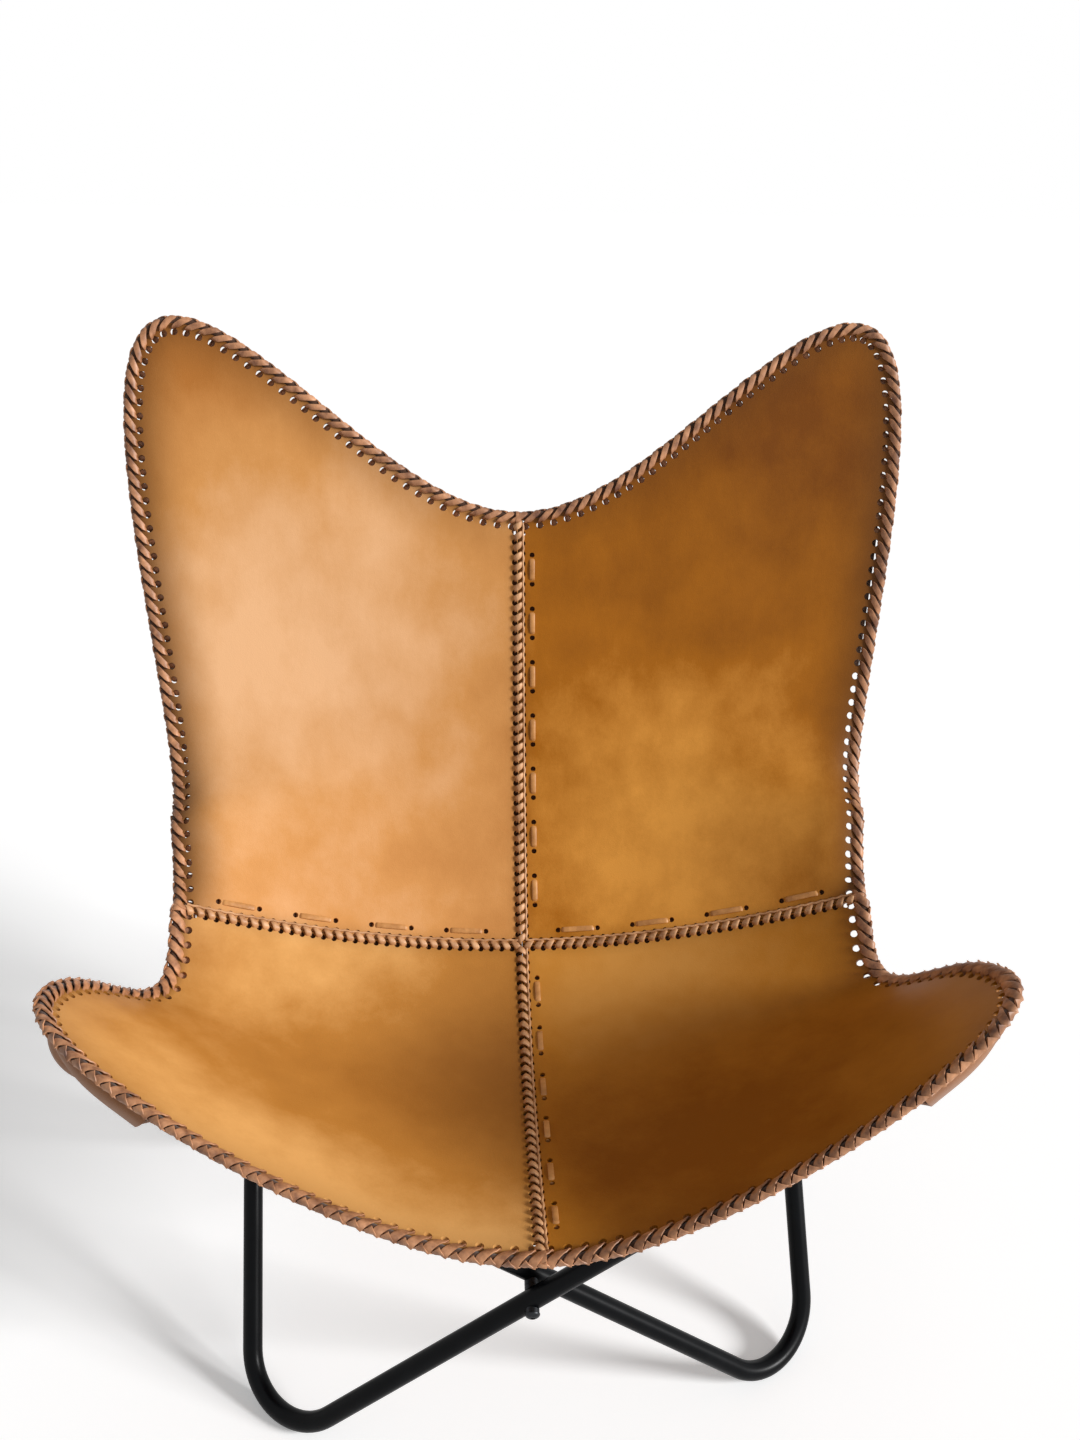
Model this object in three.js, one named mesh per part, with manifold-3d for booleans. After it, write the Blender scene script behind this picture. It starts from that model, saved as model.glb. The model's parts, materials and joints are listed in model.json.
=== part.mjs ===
// Butterfly sling chair: a laced leather sling hung on two bent tube loops that scissor on two pivots.
// Millimetres, +Z up, the front of the seat faces -Y, the origin is on the floor under the middle.
import * as THREE from "three";
import { mergeVertices } from "three/addons/utils/BufferGeometryUtils.js";
import Module from "manifold-3d";

const wasm = await Module();
wasm.setup();

// Frame tube
const TUBE_OD = 18;
const TUBE_WALL = 1.5;
const TUBE_SIDES = 8;
const BORE_SIDES = 6;
const BEND_STEPS = 8;
const BUTT_GAP = 0.3;
const SPIGOT_LENGTH = 56;
const SPIGOT_CLEARANCE = 0.7;
const FOOT_TRIES = 30;

// Bends of one loop: feet on one side, tips on the other. Corners are where the straight runs would meet.
const FRONT_CROSSING = new THREE.Vector3(0, -22, 186);
const REAR_CROSSING = new THREE.Vector3(0, 440, 372);
const FRONT_TIP_CORNER = new THREE.Vector3(359, -53, 490);
const REAR_TIP_CORNER = new THREE.Vector3(353, 480, 936);
const SADDLE_CORNER = new THREE.Vector3(268, 205, 190);
const ARCH_CORNER = new THREE.Vector3(-262, 215, 262);
const FOOT_BEND = 58;
const TIP_BEND = 38;
const SADDLE_BEND = 80;
const ARCH_BEND = 90;
const FOOT_FLAT = 1.6;

// Pivot hardware
const BOLT_DIAMETER = 6;
const BOLT_HEAD_DIAMETER = 13;
const BOLT_HEAD_HEIGHT = 4;
const BOLT_CROWN_DIAMETER = 7.8;
const BOLT_RIM_HEIGHT = 1.6;
const BOLT_TAIL = 3;
const NUT_WIDTH = 11;
const NUT_HEIGHT = 6;
const SPACER_DIAMETER = 12;
const SPACER_LEAST = 1;
const CLEARANCE = 0.3;
const BOLT_SIDES = 16;
const HOLE_SIDES = 12;
const SPACER_SIDES = 16;
const HOLLOW_SIDES = 24;

// Leather
const LEATHER = 3;
const POCKET_LEATHER = 2;
const BACKING_LEATHER = 2;
const BACKING_WIDTH = 34;
const SEAM_GAP = 8;
const SEAM_LACE = 3.6;
const EDGE_LACE_DIAMETER = 8;
const POCKET_SLACK = 11;
const SEAT_POCKET_FLARE = 0.285;
const BACK_POCKET_FLARE = 0.52;
const POCKET_ROUND = 18;
const SEAT_POCKET_LENGTH = 120;
const BACK_POCKET_LENGTH = 115;
const POCKET_LIP = 20;
const POCKET_INSET = 4;
const CORNER_POWER = 3.67;
const PANEL_CELLS = 11;
const POCKET_CELLS = 8;
const SEAM_CELLS = 22;
const EDGE_LACE_SIDES = 6;

// Lines across the sling from the front edge to the top edge. half is the half width at the side edge,
// centre is the place on the seam down the middle and side is the place on the side edge.
const FRONT_EDGE = { half: 483, centreY: -125, centreZ: 337, sideY: -93, sideZ: 635 };
const SEAT_WING = { half: 386, centreY: 0, centreZ: 319, sideY: 30, sideZ: 492 };
const SEAT_DIP = { half: 317, centreY: 110, centreZ: 322, sideY: 110, sideZ: 401 };
const CROSS_SEAM = { half: 308, centreY: 215, centreZ: 367, sideY: 180, sideZ: 439 };
const LOWER_BACK = { half: 315, centreY: 295, centreZ: 471, sideY: 232, sideZ: 492 };
const UPPER_BACK = { half: 361, centreY: 357, centreZ: 596, sideY: 335, sideZ: 596 };
const TOP_EDGE = { half: 531, centreY: 410, centreZ: 728, sideY: 536, sideZ: 1188 };
// How broadly each line is rounded in the middle, as a share of its half width.
const FRONT_ROUND = 0.384;
const MIDDLE_ROUND = 2.345;
const TOP_ROUND = 0.296;

const STEEL = new THREE.MeshStandardMaterial({ color: 0x15171a, roughness: 0.38, metalness: 0.3 });
const ZINC = new THREE.MeshStandardMaterial({ color: 0x3a3d40, roughness: 0.35, metalness: 0.9 });
const HIDE = new THREE.MeshStandardMaterial({ color: 0xb5752f, roughness: 0.5, metalness: 0 });
const SUEDE = new THREE.MeshStandardMaterial({ color: 0xa8733f, roughness: 0.85, metalness: 0 });
const LACE = new THREE.MeshStandardMaterial({ color: 0x8a5530, roughness: 0.6, metalness: 0 });

const chair = new THREE.Group();

function addPiece(name, geometry, material) {
  const mesh = new THREE.Mesh(geometry, material);
  mesh.name = name;
  chair.add(mesh);
}

// Joins shared points and turns the faces outwards.
function closed(geometry) {
  const bare = geometry.clone();
  bare.deleteAttribute("normal");
  bare.deleteAttribute("uv");
  const merged = mergeVertices(bare, 1e-3);
  const points = merged.getAttribute("position");
  const faces = merged.index.array;
  const [a, b, c] = [new THREE.Vector3(), new THREE.Vector3(), new THREE.Vector3()];
  let volume = 0;
  for (let i = 0; i < faces.length; i += 3) {
    a.fromBufferAttribute(points, faces[i]);
    b.fromBufferAttribute(points, faces[i + 1]);
    c.fromBufferAttribute(points, faces[i + 2]);
    volume += a.dot(b.cross(c)) / 6;
  }
  if (volume < 0) {
    for (let i = 0; i < faces.length; i += 3) {
      [faces[i + 1], faces[i + 2]] = [faces[i + 2], faces[i + 1]];
    }
  }
  return merged;
}

function solid(geometry) {
  const merged = closed(geometry);
  const triVerts = new Uint32Array(merged.index.array);
  const vertProperties = merged.getAttribute("position").array;
  return new wasm.Manifold(new wasm.Mesh({ numProp: 3, vertProperties, triVerts }));
}

function surface(manifold) {
  const mesh = manifold.getMesh();
  const geometry = new THREE.BufferGeometry();
  geometry.setAttribute("position", new THREE.BufferAttribute(mesh.vertProperties, 3));
  geometry.setIndex(new THREE.BufferAttribute(mesh.triVerts, 1));
  return geometry;
}

// A path through chosen places, each with its own direction.
class BentPath extends THREE.Curve {
  constructor(stops) {
    super();
    this.stops = stops;
  }
  stop(t) {
    return this.stops[Math.round(t * (this.stops.length - 1))];
  }
  getPoint(t) {
    return this.stop(t).point.clone();
  }
  getPointAt(u) {
    return this.getPoint(u);
  }
  getTangentAt(u) {
    return this.stop(u).way.clone();
  }
}

function ring(radius, sides) {
  const points = [];
  for (let i = 0; i < sides; i += 1) {
    const turn = (2 * Math.PI * i) / sides;
    points.push(new THREE.Vector2(radius * Math.cos(turn), radius * Math.sin(turn)));
  }
  return points;
}

function sweep(stops, radius, sides, bore) {
  const section = new THREE.Shape(ring(radius, sides));
  if (bore) section.holes.push(new THREE.Path(ring(bore, BORE_SIDES)));
  return new THREE.ExtrudeGeometry(section, {
    steps: stops.length - 1,
    extrudePath: new BentPath(stops),
    bevelEnabled: false,
  });
}

// The round bend at a corner between two straight runs.
function bend(before, corner, after, radius) {
  const back = before.clone().sub(corner).normalize();
  const on = after.clone().sub(corner).normalize();
  const half = back.angleTo(on) / 2;
  const middle = back.clone().add(on).normalize();
  const centre = corner.clone().addScaledVector(middle, radius / Math.sin(half));
  const start = corner.clone().addScaledVector(back, radius / Math.tan(half)).sub(centre);
  const normal = back.clone().cross(on).normalize();
  const lowest = lowestOf(centre, normal, radius);
  return { centre, start, normal, turn: Math.PI - 2 * half, radius, lowest };
}

function lowestOf(centre, normal, radius) {
  return centre.z - radius * Math.sqrt(1 - normal.z * normal.z);
}

// Stops along a bend, from one share of its turn to another.
function bendStops(arc, from, to) {
  const stops = [];
  const count = Math.max(2, Math.round(BEND_STEPS * (to - from)));
  for (let i = 0; i <= count; i += 1) {
    const angle = -arc.turn * (from + ((to - from) * i) / count);
    const spoke = arc.start.clone().applyAxisAngle(arc.normal, angle);
    const way = spoke.clone().cross(arc.normal).normalize();
    stops.push({ point: arc.centre.clone().add(spoke), way });
  }
  return stops;
}

// Slides a foot's corner along its straight run until its bend stands on the floor.
function footCorner(crossing, tip, arch) {
  const way = crossing.clone().sub(tip).normalize();
  const corner = crossing.clone().addScaledVector(way, crossing.z / -way.z);
  for (let i = 0; i < FOOT_TRIES; i += 1) {
    const lowest = bend(tip, corner, arch, FOOT_BEND).lowest;
    corner.addScaledVector(way, (TUBE_OD / 2 - lowest) / way.z);
  }
  return corner;
}

const foldAxis = REAR_CROSSING.clone().sub(FRONT_CROSSING).normalize();
const tubeReach = TUBE_OD / 2 + CLEARANCE;
// Reach of a saddle spacer along the fold axis, from the middle of its tube to its flat face.
function spacerReach(crossing, tip) {
  const slope = tip.clone().sub(crossing).angleTo(foldAxis);
  return tubeReach / Math.sin(slope) + SPACER_DIAMETER / 2 / Math.tan(slope) + SPACER_LEAST;
}

const frontReach = spacerReach(FRONT_CROSSING, FRONT_TIP_CORNER);
const rearReach = spacerReach(REAR_CROSSING, REAR_TIP_CORNER);
const loopOffset = (reach) => reach + CLEARANCE / 2;

// One loop of tube. side is 1 where its tips are on the right and -1 where they are on the left.
function frameLoop(side) {
  const place = (corner) => corner.clone().multiply(new THREE.Vector3(side, 1, 1));
  const beside = (crossing, reach) => crossing.clone().addScaledVector(foldAxis, -side * loopOffset(reach));
  const arch = place(ARCH_CORNER);
  const saddle = place(SADDLE_CORNER);
  const frontTip = place(FRONT_TIP_CORNER);
  const rearTip = place(REAR_TIP_CORNER);
  const frontFoot = footCorner(beside(FRONT_CROSSING, frontReach), frontTip, arch);
  const rearFoot = footCorner(beside(REAR_CROSSING, rearReach), rearTip, arch);
  const archArc = bend(rearFoot, arch, frontFoot, ARCH_BEND);
  const saddleArc = bend(frontTip, saddle, rearTip, SADDLE_BEND);
  const front = [
    ...bendStops(archArc, 0.5, 1),
    ...bendStops(bend(arch, frontFoot, frontTip, FOOT_BEND), 0, 1),
    ...bendStops(bend(frontFoot, frontTip, saddle, TIP_BEND), 0, 1),
    ...bendStops(saddleArc, 0, 0.5),
  ];
  const rear = [
    ...bendStops(saddleArc, 0.5, 1),
    ...bendStops(bend(saddle, rearTip, rearFoot, TIP_BEND), 0, 1),
    ...bendStops(bend(rearTip, rearFoot, arch, FOOT_BEND), 0, 1),
    ...bendStops(archArc, 0, 0.5),
  ];
  for (const stops of [front, rear]) {
    stops[0].point.addScaledVector(stops[0].way, BUTT_GAP / 2);
    stops.at(-1).point.addScaledVector(stops.at(-1).way, -BUTT_GAP / 2);
  }
  return { front, rear, archArc, saddleArc, frontTip, rearTip };
}

function boltHole(crossing) {
  const length = 8 * loopOffset(rearReach);
  const radius = BOLT_DIAMETER / 2 + CLEARANCE;
  const hole = new THREE.CylinderGeometry(radius, radius, length, HOLE_SIDES);
  return solid(hole.applyMatrix4(alongAxis(crossing, 0)));
}

// Turns +Y to the fold axis and moves out along it from a crossing.
function alongAxis(crossing, distance) {
  const turn = new THREE.Quaternion().setFromUnitVectors(new THREE.Vector3(0, 1, 0), foldAxis);
  const place = crossing.clone().addScaledVector(foldAxis, distance);
  return new THREE.Matrix4().compose(place, turn, new THREE.Vector3(1, 1, 1));
}

// Saddle spacer: hollowed to sit on the tube on one side, flat on the other.
// outward is 1 or -1 along the axis.
function saddleSpacer(crossing, reach, tip, side, outward) {
  const middle = -side * loopOffset(reach);
  const radius = SPACER_DIAMETER / 2;
  const blank = new THREE.CylinderGeometry(radius, radius, reach, SPACER_SIDES);
  blank.applyMatrix4(alongAxis(crossing, middle + (outward * reach) / 2));
  const tubeWay = tip.clone().sub(crossing.clone().addScaledVector(foldAxis, middle)).normalize();
  const tube = new THREE.CylinderGeometry(tubeReach, tubeReach, 4 * TUBE_OD, HOLLOW_SIDES);
  const turn = new THREE.Quaternion().setFromUnitVectors(new THREE.Vector3(0, 1, 0), tubeWay);
  tube.applyQuaternion(turn);
  tube.translate(...crossing.clone().addScaledVector(foldAxis, middle).toArray());
  return surface(solid(blank).subtract(solid(tube)).subtract(boltHole(crossing)));
}

function turned(profile, sides) {
  return new THREE.LatheGeometry(profile.map(([r, h]) => new THREE.Vector2(r, h)), sides);
}

function pivot(end, crossing, reach, tips) {
  const face = loopOffset(reach) + reach + CLEARANCE;
  const shank = BOLT_DIAMETER / 2;
  const head = BOLT_HEAD_DIAMETER / 2;
  const boltEnd = face + NUT_HEIGHT + BOLT_TAIL;
  const bolt = turned(
    [
      [0, -face - BOLT_HEAD_HEIGHT],
      [BOLT_CROWN_DIAMETER / 2, -face - BOLT_HEAD_HEIGHT],
      [head, -face - BOLT_RIM_HEIGHT],
      [head, -face],
      [shank, -face],
      [shank, boltEnd],
      [0, boltEnd],
    ],
    BOLT_SIDES,
  );
  addPiece(`${end}_pivot_bolt`, closed(bolt.applyMatrix4(alongAxis(crossing, 0))), ZINC);
  const flat = NUT_WIDTH / Math.sqrt(3);
  const nut = new THREE.CylinderGeometry(flat, flat, NUT_HEIGHT, 6);
  nut.applyMatrix4(alongAxis(crossing, face + NUT_HEIGHT / 2));
  addPiece(`${end}_pivot_nut`, surface(solid(nut).subtract(boltHole(crossing))), ZINC);
  for (const [loop, side] of [["right", 1], ["left", -1]]) {
    for (const [place, outward] of [["outer", -side], ["inner", side]]) {
      const spacer = saddleSpacer(crossing, reach, tips[loop], side, outward);
      addPiece(`${end}_${loop}_${place}_spacer`, spacer, ZINC);
    }
  }
}

const loops = { right: frameLoop(1), left: frameLoop(-1) };
const bolts = boltHole(FRONT_CROSSING).add(boltHole(REAR_CROSSING));
// What the floor takes off the underside of each foot, so that it stands on a flat.
const footReach = 4 * (ARCH_CORNER.length() + REAR_CROSSING.length());
const floor = new THREE.BoxGeometry(footReach, footReach, TUBE_OD);
const worn = solid(floor.translate(0, 0, FOOT_FLAT - TUBE_OD / 2));
for (const [name, loop] of Object.entries(loops)) {
  const bore = TUBE_OD / 2 - TUBE_WALL;
  for (const end of ["front", "rear"]) {
    const tube = solid(sweep(loop[end], TUBE_OD / 2, TUBE_SIDES, bore));
    addPiece(`${name}_loop_${end}_tube`, surface(tube.subtract(bolts).subtract(worn)), STEEL);
  }
  const spigot = bore * Math.cos(Math.PI / BORE_SIDES) - SPIGOT_CLEARANCE;
  for (const [part, arc] of [["arch", loop.archArc], ["saddle", loop.saddleArc]]) {
    const share = SPIGOT_LENGTH / (arc.turn * arc.radius) / 2;
    const stops = bendStops(arc, 0.5 - share, 0.5 + share);
    addPiece(`${name}_loop_${part}_spigot`, closed(sweep(stops, spigot, BORE_SIDES)), STEEL);
  }
}
pivot("front", FRONT_CROSSING, frontReach, { right: loops.right.frontTip, left: loops.left.frontTip });
pivot("rear", REAR_CROSSING, rearReach, { right: loops.right.rearTip, left: loops.left.rearTip });

// Sling surface: across runs from -1 to 1 between the side edges,
// along runs from 0 at the front to 1 at the top.
const lines = [FRONT_EDGE, SEAT_WING, SEAT_DIP, CROSS_SEAM, LOWER_BACK, UPPER_BACK, TOP_EDGE];
const middleLine = new THREE.CatmullRomCurve3(
  lines.map((line) => new THREE.Vector3(line.half, line.centreY, line.centreZ)),
  false,
  "catmullrom",
);
const sideLine = new THREE.CatmullRomCurve3(
  lines.map((line) => new THREE.Vector3(line.half, line.sideY, line.sideZ)),
  false,
  "catmullrom",
);

function slingPoint(across, along) {
  const middle = middleLine.getPoint(THREE.MathUtils.clamp(along, 0, 1));
  const side = sideLine.getPoint(THREE.MathUtils.clamp(along, 0, 1));
  const fromMiddle = THREE.MathUtils.clamp(Math.abs(2 * along - 1), 0, 1);
  const endRound = along < 0.5 ? FRONT_ROUND : TOP_ROUND;
  const round = THREE.MathUtils.lerp(MIDDLE_ROUND, endRound, fromMiddle);
  const rise = (Math.hypot(across, round) - round) / (Math.hypot(1, round) - round);
  return new THREE.Vector3(
    middle.x * across,
    THREE.MathUtils.lerp(middle.y, side.y, rise),
    THREE.MathUtils.lerp(middle.z, side.z, rise),
  );
}

// A place on the sling lifted off its face, towards the sitter where lift is positive.
function liftedPoint(across, along, lift) {
  const step = 1e-3;
  const acrossWay = slingPoint(across + step, along).sub(slingPoint(across - step, along));
  const low = Math.max(along - step, 0);
  const high = Math.min(along + step, 1);
  const alongWay = slingPoint(across, high).sub(slingPoint(across, low));
  const face = acrossWay.cross(alongWay).normalize();
  return slingPoint(across, along).addScaledVector(face, lift);
}

// Rounds the outer corner of a quarter: out and end run from 0 at the seams to 1 at the edges.
function quarterPlace(quarter, out, end) {
  const power = (out ** CORNER_POWER + end ** CORNER_POWER) ** (1 / CORNER_POWER);
  const pull = power > 0 ? Math.max(out, end) / power : 1;
  return { across: quarter.side * out * pull, along: 0.5 + 0.5 * quarter.end * end * pull };
}

// A closed skin between a lower and an upper face on a grid of cells.
function sheet(cellsA, cellsB, pointAt) {
  const positions = [];
  const faces = [];
  const spot = (i, j, top) => (top * (cellsA + 1) + i) * (cellsB + 1) + j;
  for (const top of [0, 1]) {
    for (let i = 0; i <= cellsA; i += 1) {
      for (let j = 0; j <= cellsB; j += 1) {
        positions.push(...pointAt(i / cellsA, j / cellsB, top).toArray());
      }
    }
  }
  const quad = (a, b, c, d) => faces.push(a, b, c, a, c, d);
  for (let i = 0; i < cellsA; i += 1) {
    for (let j = 0; j < cellsB; j += 1) {
      quad(spot(i, j, 1), spot(i + 1, j, 1), spot(i + 1, j + 1, 1), spot(i, j + 1, 1));
      quad(spot(i, j, 0), spot(i, j + 1, 0), spot(i + 1, j + 1, 0), spot(i + 1, j, 0));
    }
  }
  for (let i = 0; i < cellsA; i += 1) {
    quad(spot(i, 0, 0), spot(i + 1, 0, 0), spot(i + 1, 0, 1), spot(i, 0, 1));
    quad(spot(i + 1, cellsB, 0), spot(i, cellsB, 0), spot(i, cellsB, 1), spot(i + 1, cellsB, 1));
  }
  for (let j = 0; j < cellsB; j += 1) {
    quad(spot(0, j + 1, 0), spot(0, j, 0), spot(0, j, 1), spot(0, j + 1, 1));
    quad(spot(cellsA, j, 0), spot(cellsA, j + 1, 0), spot(cellsA, j + 1, 1), spot(cellsA, j, 1));
  }
  const geometry = new THREE.BufferGeometry();
  geometry.setAttribute("position", new THREE.Float32BufferAttribute(positions, 3));
  geometry.setIndex(faces);
  return closed(geometry);
}

const quarters = [
  { name: "back_left", side: -1, end: 1 },
  { name: "back_right", side: 1, end: 1 },
  { name: "seat_left", side: -1, end: -1 },
  { name: "seat_right", side: 1, end: -1 },
];
// Shares of the half width and of a quarter's length that a length in millimetres takes.
const acrossShare = (length) => length / CROSS_SEAM.half;
const quarterLength = (end) => slingPoint(0, 0.5).distanceTo(slingPoint(0, 0.5 + 0.5 * end));
const endShare = (length, end) => length / quarterLength(end);

function panel(quarter) {
  const out0 = acrossShare(SEAM_GAP / 2);
  const end0 = endShare(SEAM_GAP / 2, quarter.end);
  return sheet(PANEL_CELLS, PANEL_CELLS, (a, b, top) => {
    const place = quarterPlace(quarter, out0 + (1 - out0) * a, end0 + (1 - end0) * b);
    return liftedPoint(place.across, place.along, (top - 0.5) * LEATHER);
  });
}

// The hood under a tip that the tube slides into: a corner piece with a straight mouth,
// joined along the rim.
function pocket(quarter) {
  const length = quarter.end > 0 ? BACK_POCKET_LENGTH : SEAT_POCKET_LENGTH;
  const flare = quarter.end > 0 ? BACK_POCKET_FLARE : SEAT_POCKET_FLARE;
  const inset = { out: acrossShare(POCKET_INSET), end: endShare(POCKET_INSET, quarter.end) };
  const mouth = { out: 1 - acrossShare(length), end: 1 - endShare(length, quarter.end) };
  const lip = {
    out: mouth.out + acrossShare(POCKET_LIP),
    end: mouth.end + endShare(POCKET_LIP, quarter.end),
  };
  const rimOut = 1 - inset.out;
  const rimEnd = 1 - inset.end;
  const mix = THREE.MathUtils.lerp;
  return sheet(2 * POCKET_CELLS, POCKET_CELLS, (a, b, top) => {
    const inner = [mix(rimOut, mouth.out, a), mix(mouth.end, rimEnd, a)];
    const outer = [
      a < 0.5 ? rimOut : mix(rimOut, lip.out, 2 * a - 1),
      a < 0.5 ? mix(lip.end, rimEnd, 2 * a) : rimEnd,
    ];
    const out = mix(inner[0], outer[0], Math.sqrt(b));
    const end = mix(inner[1], outer[1], Math.sqrt(b));
    const fromSide = (rimOut - out) * CROSS_SEAM.half;
    const fromEnd = (rimEnd - end) * quarterLength(quarter.end);
    const round = 1 - THREE.MathUtils.clamp(Math.min(fromSide, fromEnd) / POCKET_ROUND, 0, 1);
    // The mouth of a back pocket opens both ways, that of a seat pocket only away from the front edge.
    const away = quarter.end > 0 ? Math.max(fromSide, fromEnd) : fromEnd;
    const room = TUBE_OD + POCKET_SLACK + flare * away;
    const drop = LEATHER / 2 + 2 * CLEARANCE + room * Math.sqrt(1 - round * round);
    const place = quarterPlace(quarter, out, end);
    return liftedPoint(place.across, place.along, -drop - (1 - top) * POCKET_LEATHER);
  });
}

// The braid round the rim of a quarter, lying just outside the cut edge.
function edgeLace(quarter) {
  const within = 0.98;
  const rim = [];
  const start = endShare(SEAM_GAP / 2, quarter.end);
  const finish = acrossShare(SEAM_GAP / 2);
  const count = 2 * PANEL_CELLS;
  for (let i = 0; i <= count; i += 1) {
    const round = (2 * i) / count;
    const out = round < 1 ? 1 : finish + (1 - finish) * (2 - round);
    const end = round < 1 ? start + (1 - start) * round : 1;
    const place = quarterPlace(quarter, out, end);
    const inner = quarterPlace(quarter, out * within, end * within);
    const edge = slingPoint(place.across, place.along);
    const face = liftedPoint(place.across, place.along, 1).sub(edge);
    rim.push({ edge, face, inward: slingPoint(inner.across, inner.along).sub(edge) });
  }
  const stops = rim.map(({ edge, face, inward }, i) => {
    const last = rim[Math.max(0, i - 1)].edge;
    const next = rim[Math.min(count, i + 1)].edge;
    const way = next.clone().sub(last).normalize();
    const outward = way.clone().cross(face).normalize();
    if (outward.dot(inward) > 0) outward.negate();
    return { point: edge.clone().addScaledVector(outward, EDGE_LACE_DIAMETER / 2 + CLEARANCE), way };
  });
  return closed(sweep(stops, EDGE_LACE_DIAMETER / 2, EDGE_LACE_SIDES));
}

// A strip that follows a seam. across and along give its two ends, low and high its faces.
function seamStrip(across, along, low, high) {
  const wide = across[1] - across[0] > along[1] - along[0];
  return sheet(wide ? SEAM_CELLS : 2, wide ? 2 : SEAM_CELLS, (a, b, top) =>
    liftedPoint(
      THREE.MathUtils.lerp(across[0], across[1], a),
      THREE.MathUtils.lerp(along[0], along[1], b),
      top ? high : low,
    ),
  );
}

for (const quarter of quarters) {
  addPiece(`${quarter.name}_panel`, panel(quarter), HIDE);
  addPiece(`${quarter.name}_pocket`, pocket(quarter), SUEDE);
  addPiece(`${quarter.name}_edge_lace`, edgeLace(quarter), LACE);
}

const rising = (from, to) => [Math.min(from, to), Math.max(from, to)];
const laceSide = SEAM_GAP / 2 - 2 * CLEARANCE;
const laceHalf = acrossShare(laceSide);
const laceLow = -LEATHER / 2 + CLEARANCE;
const backingTop = -LEATHER / 2 - CLEARANCE;
const backingHalf = acrossShare(BACKING_WIDTH / 2);
for (const [name, end] of [["back", 1], ["seat", -1]]) {
  const alongOf = (length) => 0.5 + 0.5 * end * endShare(length, end);
  const rim = 0.5 + 0.5 * end;
  const span = rising(alongOf(CLEARANCE / 2), rim);
  addPiece(
    `${name}_seam_lace`,
    seamStrip([-laceHalf, laceHalf], span, laceLow, SEAM_LACE / 2),
    LACE,
  );
  const backedFrom = alongOf(BACKING_WIDTH / 2 + CLEARANCE);
  const backed = rising(backedFrom, alongOf(quarterLength(end) - BACKING_WIDTH));
  addPiece(
    `${name}_seam_backing`,
    seamStrip([-backingHalf, backingHalf], backed, backingTop - BACKING_LEATHER, backingTop),
    SUEDE,
  );
}
for (const [name, side] of [["left", -1], ["right", 1]]) {
  const seamSpan = (half) => [0.5 - 0.5 * endShare(half, -1), 0.5 + 0.5 * endShare(half, 1)];
  const laceSpan = rising(side * (laceHalf + acrossShare(CLEARANCE)), side);
  addPiece(
    `${name}_cross_seam_lace`,
    seamStrip(laceSpan, seamSpan(laceSide), laceLow, SEAM_LACE / 2),
    LACE,
  );
  const backingSpan = rising(side * acrossShare(CLEARANCE / 2), side * (1 - backingHalf));
  addPiece(
    `${name}_cross_seam_backing`,
    seamStrip(backingSpan, seamSpan(BACKING_WIDTH / 2), backingTop - BACKING_LEATHER, backingTop),
    SUEDE,
  );
}

// Stands the chair on the floor with its middle over the origin.
const box = new THREE.Box3().setFromObject(chair);
chair.position.set(-(box.min.x + box.max.x) / 2, -(box.min.y + box.max.y) / 2, -box.min.z);

export default chair;
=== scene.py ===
# %% [markdown]
# A butterfly chair is a leather sling hung on a bent tube frame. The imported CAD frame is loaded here, and
# each piece is dressed in place. It could be modelled by hand, but a script gives the same chair on every
# run.

# %% load the frame
import json
import math
import bpy
import numpy as np
from mathutils import Matrix, Vector
from mathutils.kdtree import KDTree


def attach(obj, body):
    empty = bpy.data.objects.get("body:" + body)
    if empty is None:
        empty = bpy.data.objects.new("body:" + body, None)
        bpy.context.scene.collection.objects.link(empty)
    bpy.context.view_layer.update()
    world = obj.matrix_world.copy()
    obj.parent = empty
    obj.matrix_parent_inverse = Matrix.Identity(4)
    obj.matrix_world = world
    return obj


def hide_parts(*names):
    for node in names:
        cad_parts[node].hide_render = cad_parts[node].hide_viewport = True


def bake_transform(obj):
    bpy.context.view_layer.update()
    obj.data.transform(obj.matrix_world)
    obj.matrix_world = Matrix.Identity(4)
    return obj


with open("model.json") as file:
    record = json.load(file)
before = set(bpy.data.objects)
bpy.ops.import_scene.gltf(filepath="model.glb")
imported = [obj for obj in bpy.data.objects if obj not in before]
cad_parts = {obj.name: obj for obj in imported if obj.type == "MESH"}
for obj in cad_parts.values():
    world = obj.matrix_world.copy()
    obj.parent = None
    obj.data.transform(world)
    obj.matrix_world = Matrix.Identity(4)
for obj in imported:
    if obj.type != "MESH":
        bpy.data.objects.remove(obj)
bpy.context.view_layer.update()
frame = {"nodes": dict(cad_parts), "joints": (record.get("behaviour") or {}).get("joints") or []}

# %% [markdown]
# The chair is built from a few driving sizes in metres, the same ones as in the CAD. They could be read
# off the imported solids, but a named size says what it is for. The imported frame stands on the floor, with
# its front pivot where the first joint says.

# %% driving sizes
MM = 0.001
TUBE_OUTSIDE = 18 * MM
TUBE_WALL = 1.5 * MM
FRONT_CROSSING = np.array([0, -22, 186]) * MM
REAR_CROSSING = np.array([0, 440, 372]) * MM
FRONT_TIP_CORNER = np.array([359, -53, 490]) * MM
REAR_TIP_CORNER = np.array([353, 480, 936]) * MM
SADDLE_CORNER = np.array([268, 205, 190]) * MM
ARCH_CORNER = np.array([-262, 215, 262]) * MM
FOOT_BEND = 58 * MM
TIP_BEND = 38 * MM
SADDLE_BEND = 80 * MM
ARCH_BEND = 90 * MM
BUTT_GAP = 0.3 * MM
BOLT_DIAMETER = 6 * MM
CLEARANCE = 0.3 * MM
TO_FRAME = np.array(frame["joints"][0]["pos_m"]) - FRONT_CROSSING
print("shift to the frame", TO_FRAME)

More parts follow.
